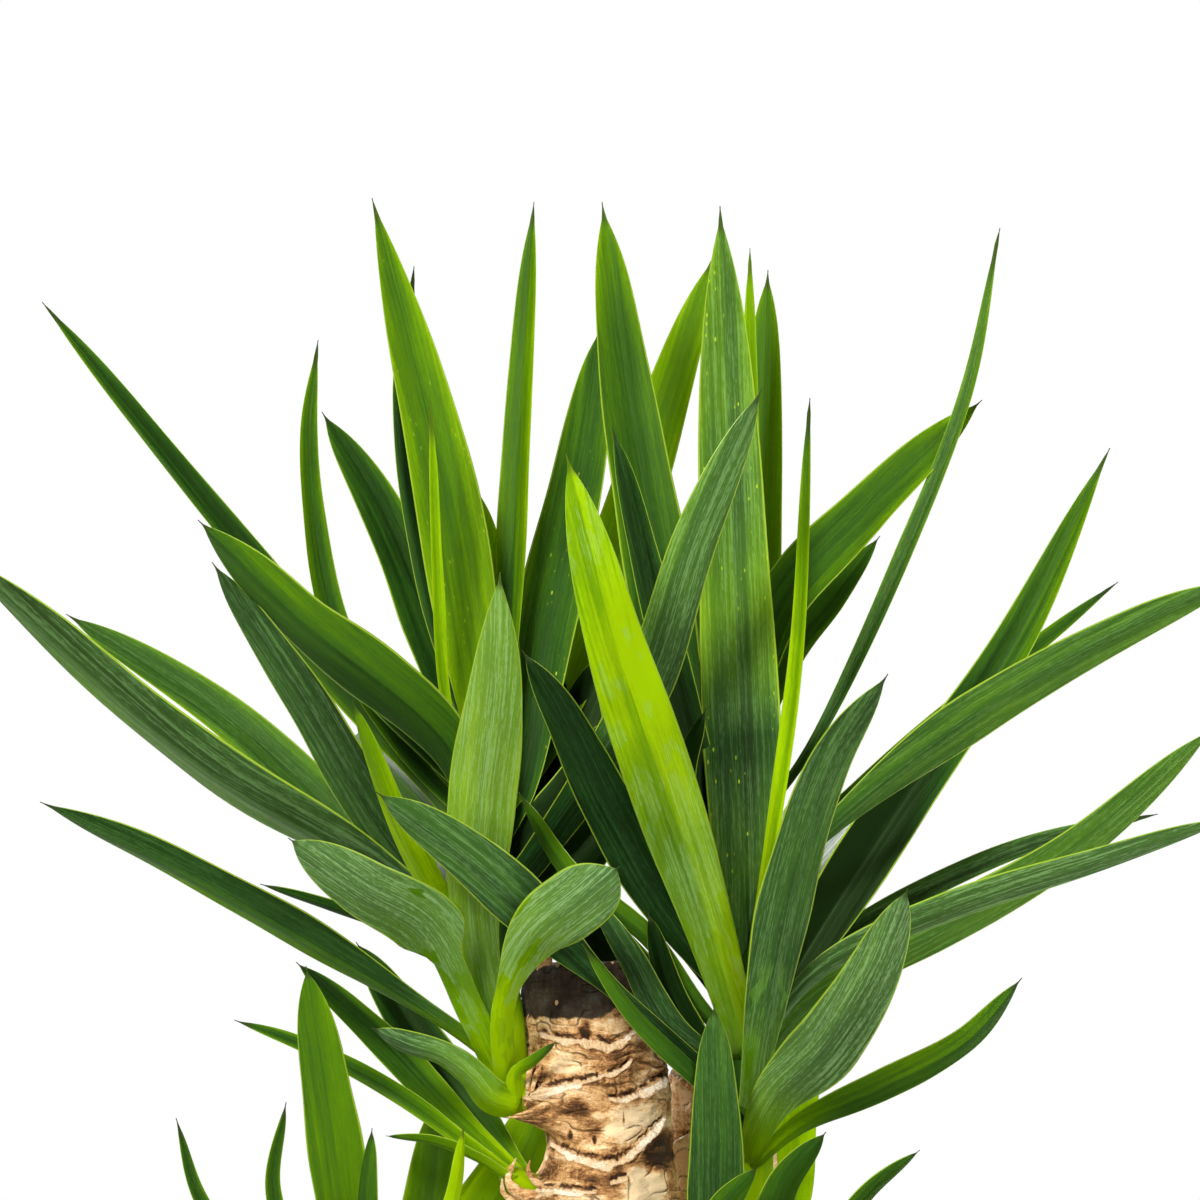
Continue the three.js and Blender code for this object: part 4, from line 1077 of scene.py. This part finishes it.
def leaf_material():
    """Green by age and by painted light and shade, with fine veins, a pale waxy bloom in flecks, pale rims that
    are partly painted rim light, and dark needles at the tips.
    """
    g = Graph(bpy.data.materials.new("leaf blade"))
    across, along, shade = g.value("across"), g.value("along"), g.value("shade")
    seed, length, below = g.value("seed"), g.value("length"), g.value("below")
    distance = g.times(along, length)
    aside = g.math("ABSOLUTE", across)
    sideways = g.times(across, g.value("breadth"))

    def stretched(wide, long):
        return g.vector(g.math("MULTIPLY_ADD", sideways, wide, seed), g.times(distance, long), seed)

    bands = g.noise(stretched(2.6, 0.2), 1.0, 1.0)
    streaks = g.noise(stretched(14.0, 0.6), 1.0, 2.0, 0.6)
    veins = g.noise(stretched(32.0, 4.0), 1.0, 1.0, 0.6)
    fibres = g.noise(stretched(42.0, 26.0), 1.0, 1.0, 0.6)
    mottle = g.noise(g.place(), 14.0, 3.0)

    # The shades, with the painted light and shade of the blade's two sides added
    tone = g.math("ADD", shade, g.value("half"))
    for noise, amount in ((bands, 0.45), (streaks, 0.34), (veins, 0.3), (mottle, 0.28), (fibres, 0.22)):
        tone = g.vary(tone, noise, amount)
    tone = g.math("ADD", tone, g.step(aside, 0.0, 0.08, -0.08, 0.0))
    channel = g.times(g.step(aside, 0.35, 0.95, -0.08, 0.12), g.math("SUBTRACT", 1.0, below))
    tone = g.math("ADD", tone, channel)
    colour = g.ramp(tone, [
        (0.0, (0.003, 0.012, 0.0015)),
        (0.2, (0.012, 0.046, 0.006)),
        (0.4, (0.034, 0.105, 0.009)),
        (0.6, (0.085, 0.2, 0.003)),
        (0.8, (0.19, 0.35, 0.001)),
        (1.0, (0.42, 0.62, 0.0)),
    ])

    # Bloom, which fades on young parts and is torn where the leaf is wet
    flecks = g.math("MULTIPLY_ADD", fibres, 0.7, g.math("MULTIPLY_ADD", veins, 0.8, streaks))
    flecks = g.step(flecks, 1.2, 1.48)
    bloom = g.times(g.value("pale"), g.math("MULTIPLY_ADD", flecks, 0.6, 0.15))
    rubbed = g.noise(stretched(1.6, 2.8), 1.3, 2.0)
    edge = g.step(g.vary(shade, rubbed, 1.5), 0.76, 0.79, 1.0, 0.0)
    young = g.step(shade, 0.64, 0.92, 1.0, 0.0)
    aged = g.math("MULTIPLY_ADD", g.math("SUBTRACT", edge, young), g.value("wet"), young)
    film = g.mix(g.step(shade, 0.05, 0.42), (0.04, 0.13, 0.035), (0.33, 0.53, 0.22))
    colour = g.mix(g.times(bloom, aged), colour, film)
    patch = g.times(g.step(rubbed, 0.53, 0.55), g.step(distance, 0.75, 0.95, 1.0, 0.0))
    patch = g.times(patch, g.value("wet"))

    # Dots, rims, needles and wet patches
    spots = g.node("ShaderNodeTexVoronoi", {"Vector": stretched(1.1, 2.6), "Scale": 5.5}).outputs["Distance"]
    cluster = g.step(g.noise(stretched(1.0, 1.0), 1.4, 1.0), 0.5, 0.62)
    dots = g.times(g.times(g.step(spots, 0.1, 0.2, 1.0, 0.0), cluster), g.value("dots"))
    colour = g.mix(dots, colour, (0.5, 0.64, 0.03))
    # Pale margins: the blade's own yellow-green edge, made brighter as painted rim light
    colour = g.mix(g.times(g.step(aside, 0.93, 0.965), 0.8), colour, (0.4, 0.56, 0.04))
    colour = g.mix(g.times(g.value("needle"), 0.85), colour, (0.03, 0.045, 0.012))
    colour = g.mix(g.times(patch, 0.35), colour, (0.13, 0.31, 0.006))

    roughness = g.step(streaks, 0.3, 0.75, 0.4, 0.56)
    roughness = g.math("MULTIPLY_ADD", patch, g.math("SUBTRACT", 0.14, roughness), roughness)
    normal = g.bump(bands, 0.6, 0.0015, g.bump(fibres, 0.35, 0.0003))
    gloss = g.math("MULTIPLY_ADD", patch, 0.4, 0.16)
    surface = g.surface(colour, roughness, normal, gloss, **{"Specular Tint": (0.5, 0.85, 0.3, 1)})
    glow = g.mix(g.step(shade, 0.1, 1.0, 0.25, 0.6), colour, (0.66, 0.86, 0.0))
    through = g.node("ShaderNodeBsdfTranslucent", {"Color": glow}).outputs[0]
    share = g.step(shade, 0.1, 1.0, 0.16, 0.5)
    return g.finish(g.node("ShaderNodeMixShader", {0: share, 1: surface, 2: through}).outputs[0])


def bark_material():
    """Tan to brown corky bark, with dark creases, grooves darkened as painted shade, cream scars and a dark
    top.
    """
    g = Graph(bpy.data.materials.new("cane bark"))
    place = g.place()
    leaning = g.mapped(place, 3.0, lean=-14)
    patches = g.noise(leaning, 30.0, 4.0, 0.6, 0.8)
    grain = g.noise(leaning, 150.0, 4.0, 0.75, 1.6)
    specks = g.noise(place, 800.0, 2.0, 0.7)
    fibres = g.noise(g.mapped(place, 0.2), 420.0, 3.0, 0.6)
    pores = g.noise(place, 1100.0, 2.0, 0.7)

    tone = g.vary(0.6, patches, 1.9)
    # The bark's lightness: each cane's own, with the pale plates, brown places, painted shadows and painted
    # highlight of the tall cane's front
    tone = g.math("MULTIPLY_ADD", g.value("light"), 0.3, tone)
    # Darker with wear, and with painted shade just above the scars and below the top
    tone = g.math("MULTIPLY_ADD", g.value("worn"), -0.26, tone)
    tone = g.vary(g.vary(tone, grain, 1.1), specks, 0.5)
    frayed = g.times(g.math("SUBTRACT", fibres, 0.5), g.value("worn"))
    tone = g.math("MULTIPLY_ADD", frayed, 1.2, tone)
    colour = g.ramp(tone, [
        (0.0, (0.035, 0.014, 0.004)),
        (0.25, (0.15, 0.062, 0.018)),
        (0.45, (0.4, 0.19, 0.062)),
        (0.65, (0.7, 0.4, 0.16)),
        (0.9, (0.95, 0.7, 0.4)),
    ])
    crease = g.step(g.vary(g.value("crease"), grain, 0.9), 0.2, 0.95)
    colour = g.mix(g.times(crease, 0.75), colour, (0.09, 0.036, 0.011))
    # Painted shade in the crevices over the scars and in their undercuts
    groove = g.step(g.vary(g.value("groove"), grain, 0.9), 0.25, 0.7)
    colour = g.mix(g.times(groove, 0.9), colour, (0.035, 0.014, 0.006))

    # Scars: crumbling cream bands, darker to their edges and in their pores
    crumble = g.vary(g.vary(g.value("scar"), grain, 1.3), specks, 0.9)
    scar = g.step(crumble, 0.3, 0.5)
    cream = g.mix(g.step(patches, 0.35, 0.6), (0.8, 0.56, 0.31), (1.0, 0.88, 0.68))
    cream = g.mix(g.step(crumble, 0.4, 1.0, 1.0, 0.0), cream, (0.5, 0.28, 0.11))
    cream = g.mix(g.step(pores, 0.52, 0.64, 0.0, 0.7), cream, (0.55, 0.33, 0.14))
    colour = g.mix(scar, colour, cream)

    # The dark top, with a few pale scabs
    sealed = g.ramp(g.noise(place, 120.0, 3.0, 0.7), [
        (0.35, (0.01, 0.007, 0.004)),
        (0.55, (0.026, 0.018, 0.011)),
        (0.72, (0.05, 0.055, 0.038)),
    ])
    sealed = g.mix(g.step(g.noise(place, 210.0, 1.0), 0.72, 0.76), sealed, (0.6, 0.36, 0.17))
    colour = g.mix(g.times(g.value("cap"), 0.97), colour, sealed)

    height = g.math("MULTIPLY_ADD", crease, -0.8, grain)
    height = g.math("MULTIPLY_ADD", specks, 0.35, height)
    height = g.math("ADD", frayed, height)
    height = g.math("MULTIPLY_ADD", g.times(scar, pores), -0.8, height)
    roughness = g.step(grain, 0.3, 0.7, 0.65, 0.9)
    return g.finish(g.surface(colour, roughness, g.bump(height, 0.85, 0.0013), 0.22))


def pot_material():
    """Dark grey plastic, a little cloudy and dusty."""
    g = Graph(bpy.data.materials.new("pot plastic"))
    place = g.place()
    cloud = g.noise(place, 9.0, 3.0)
    dust = g.step(g.noise(g.mapped(place, 0.25), 60.0, 5.0, 0.7), 0.55, 0.8)
    colour = g.ramp(cloud, [(0.3, (0.026, 0.028, 0.03)), (0.7, (0.04, 0.042, 0.044))])
    colour = g.mix(g.times(dust, 0.16), colour, (0.22, 0.19, 0.15))
    roughness = g.math("MULTIPLY_ADD", dust, 0.2, g.step(cloud, 0.3, 0.7, 0.42, 0.55))
    normal = g.bump(g.noise(place, 900.0, 2.0), 0.35, 0.0004)
    return g.finish(g.surface(colour, roughness, normal, 0.45))


def soil_material():
    """Dark damp mix, lighter on its crumbs, with white grains."""
    g = Graph(bpy.data.materials.new("potting mix"))
    place = g.place()
    crumbs = g.noise(place, 260.0, 5.0, 0.7)
    damp = g.noise(place, 22.0, 3.0)
    grain = g.value("grain")
    colour = g.ramp(crumbs, [
        (0.3, (0.011, 0.007, 0.005)),
        (0.55, (0.032, 0.02, 0.013)),
        (0.75, (0.075, 0.048, 0.03)),
    ])
    colour = g.mix(g.times(g.step(grain, 0.05, 0.6), 0.55), colour, (0.12, 0.068, 0.036))
    colour = g.mix(g.step(grain, 0.8, 0.9), colour, (0.68, 0.65, 0.6))
    roughness = g.step(damp, 0.35, 0.65, 0.75, 0.98)
    return g.finish(g.surface(colour, roughness, g.bump(crumbs, 1.0, 0.002), 0.25))


def floor_material():
    g = Graph(bpy.data.materials.new("floor paint"))
    cloud = g.noise(g.place(), 1.2, 2.0)
    colour = g.ramp(cloud, [(0.3, (0.76, 0.76, 0.755)), (0.7, (0.8, 0.8, 0.795))])
    return g.finish(g.node("ShaderNodeBsdfPrincipled", {"Base Color": colour, "Roughness": 0.6}).outputs[0])


# Studio

def make_floor():
    half = FLOOR_HALF
    mesh = bpy.data.meshes.new("floor")
    corners = [(-half, -half, 0), (half, -half, 0), (half, half, 0), (-half, half, 0)]
    mesh.from_pydata(corners, [], [[0, 1, 2, 3]])
    mesh.materials.append(floor_material())
    placed("floor", mesh)


def make_lights():
    for name, setting in LIGHTS.items():
        data = bpy.data.lights.new(name, "AREA")
        data.size = setting["size"]
        data.energy = setting["watts"]
        lamp = placed(name, data)
        lamp.location = setting["at"]
        lamp.rotation_euler = (AIM - lamp.location).to_track_quat("-Z", "Y").to_euler()


def make_world():
    """White behind the plant, and a softer white as the light that comes from all round."""
    g = Graph(bpy.data.worlds.new("studio"))
    looked_at = g.node("ShaderNodeLightPath").outputs["Is Camera Ray"]
    inputs = {"Value": looked_at, "To Min": WORLD_FOR_LIGHT, "To Max": 1.0}
    strength = g.node("ShaderNodeMapRange", inputs).outputs["Result"]
    background = g.node("ShaderNodeBackground", {"Color": (1, 1, 1, 1), "Strength": strength}).outputs[0]
    g.node("ShaderNodeOutputWorld", {"Surface": background})
    bpy.context.scene.world = g.owner


def make_camera():
    """A level camera at the eye, whose frame is as wide as the picture at the plant's depth."""
    data = bpy.data.cameras.new("camera")
    data.sensor_width = SENSOR
    data.lens = SENSOR * EYE_DISTANCE / PICTURE_WIDTH
    made = placed("camera", data)
    made.location = (0, -EYE_DISTANCE * METRES, EYE_HEIGHT * METRES)
    made.rotation_euler = (math.radians(90), 0, 0)
    bpy.context.scene.camera = made


# The plant

def make_shoots():
    look = leaf_material()
    for name, shoot in SHOOTS.items():
        shape = Shape()
        add_stem(shape, shoot["stem"], shoot["radius"])
        ruled = ruled_leaves(shoot["stem"], shoot["rule"]) if "rule" in shoot else []
        for form in shoot["leaves"] + ruled:
            add_blade(shape, form)
        shape.piece(name + "_leaves", name, "leaf", look)


def make_canes():
    look = bark_material()
    for name, cane in CANES.items():
        shape = Shape()
        Bark(name, cane).add_to(shape)
        shape.piece(name + "_bark", name, "cane", look)
    torn = Shape()
    for path, width in TORN_STRIPS:
        add_strip(torn, path, width)
    torn.piece("torn_bark", None, "cane", look)


def make_soil_and_pot():
    soil = Shape()
    add_soil(soil)
    soil.piece("potting_mix", "soil", "soil", soil_material())
    pot = Shape()
    add_pot(pot)
    pot.piece("plant_pot", "pot", "pot", pot_material())


make_camera()
make_floor()
make_lights()
make_world()
make_shoots()
make_canes()
make_soil_and_pot()
bpy.context.scene.view_settings.view_transform = "Standard"
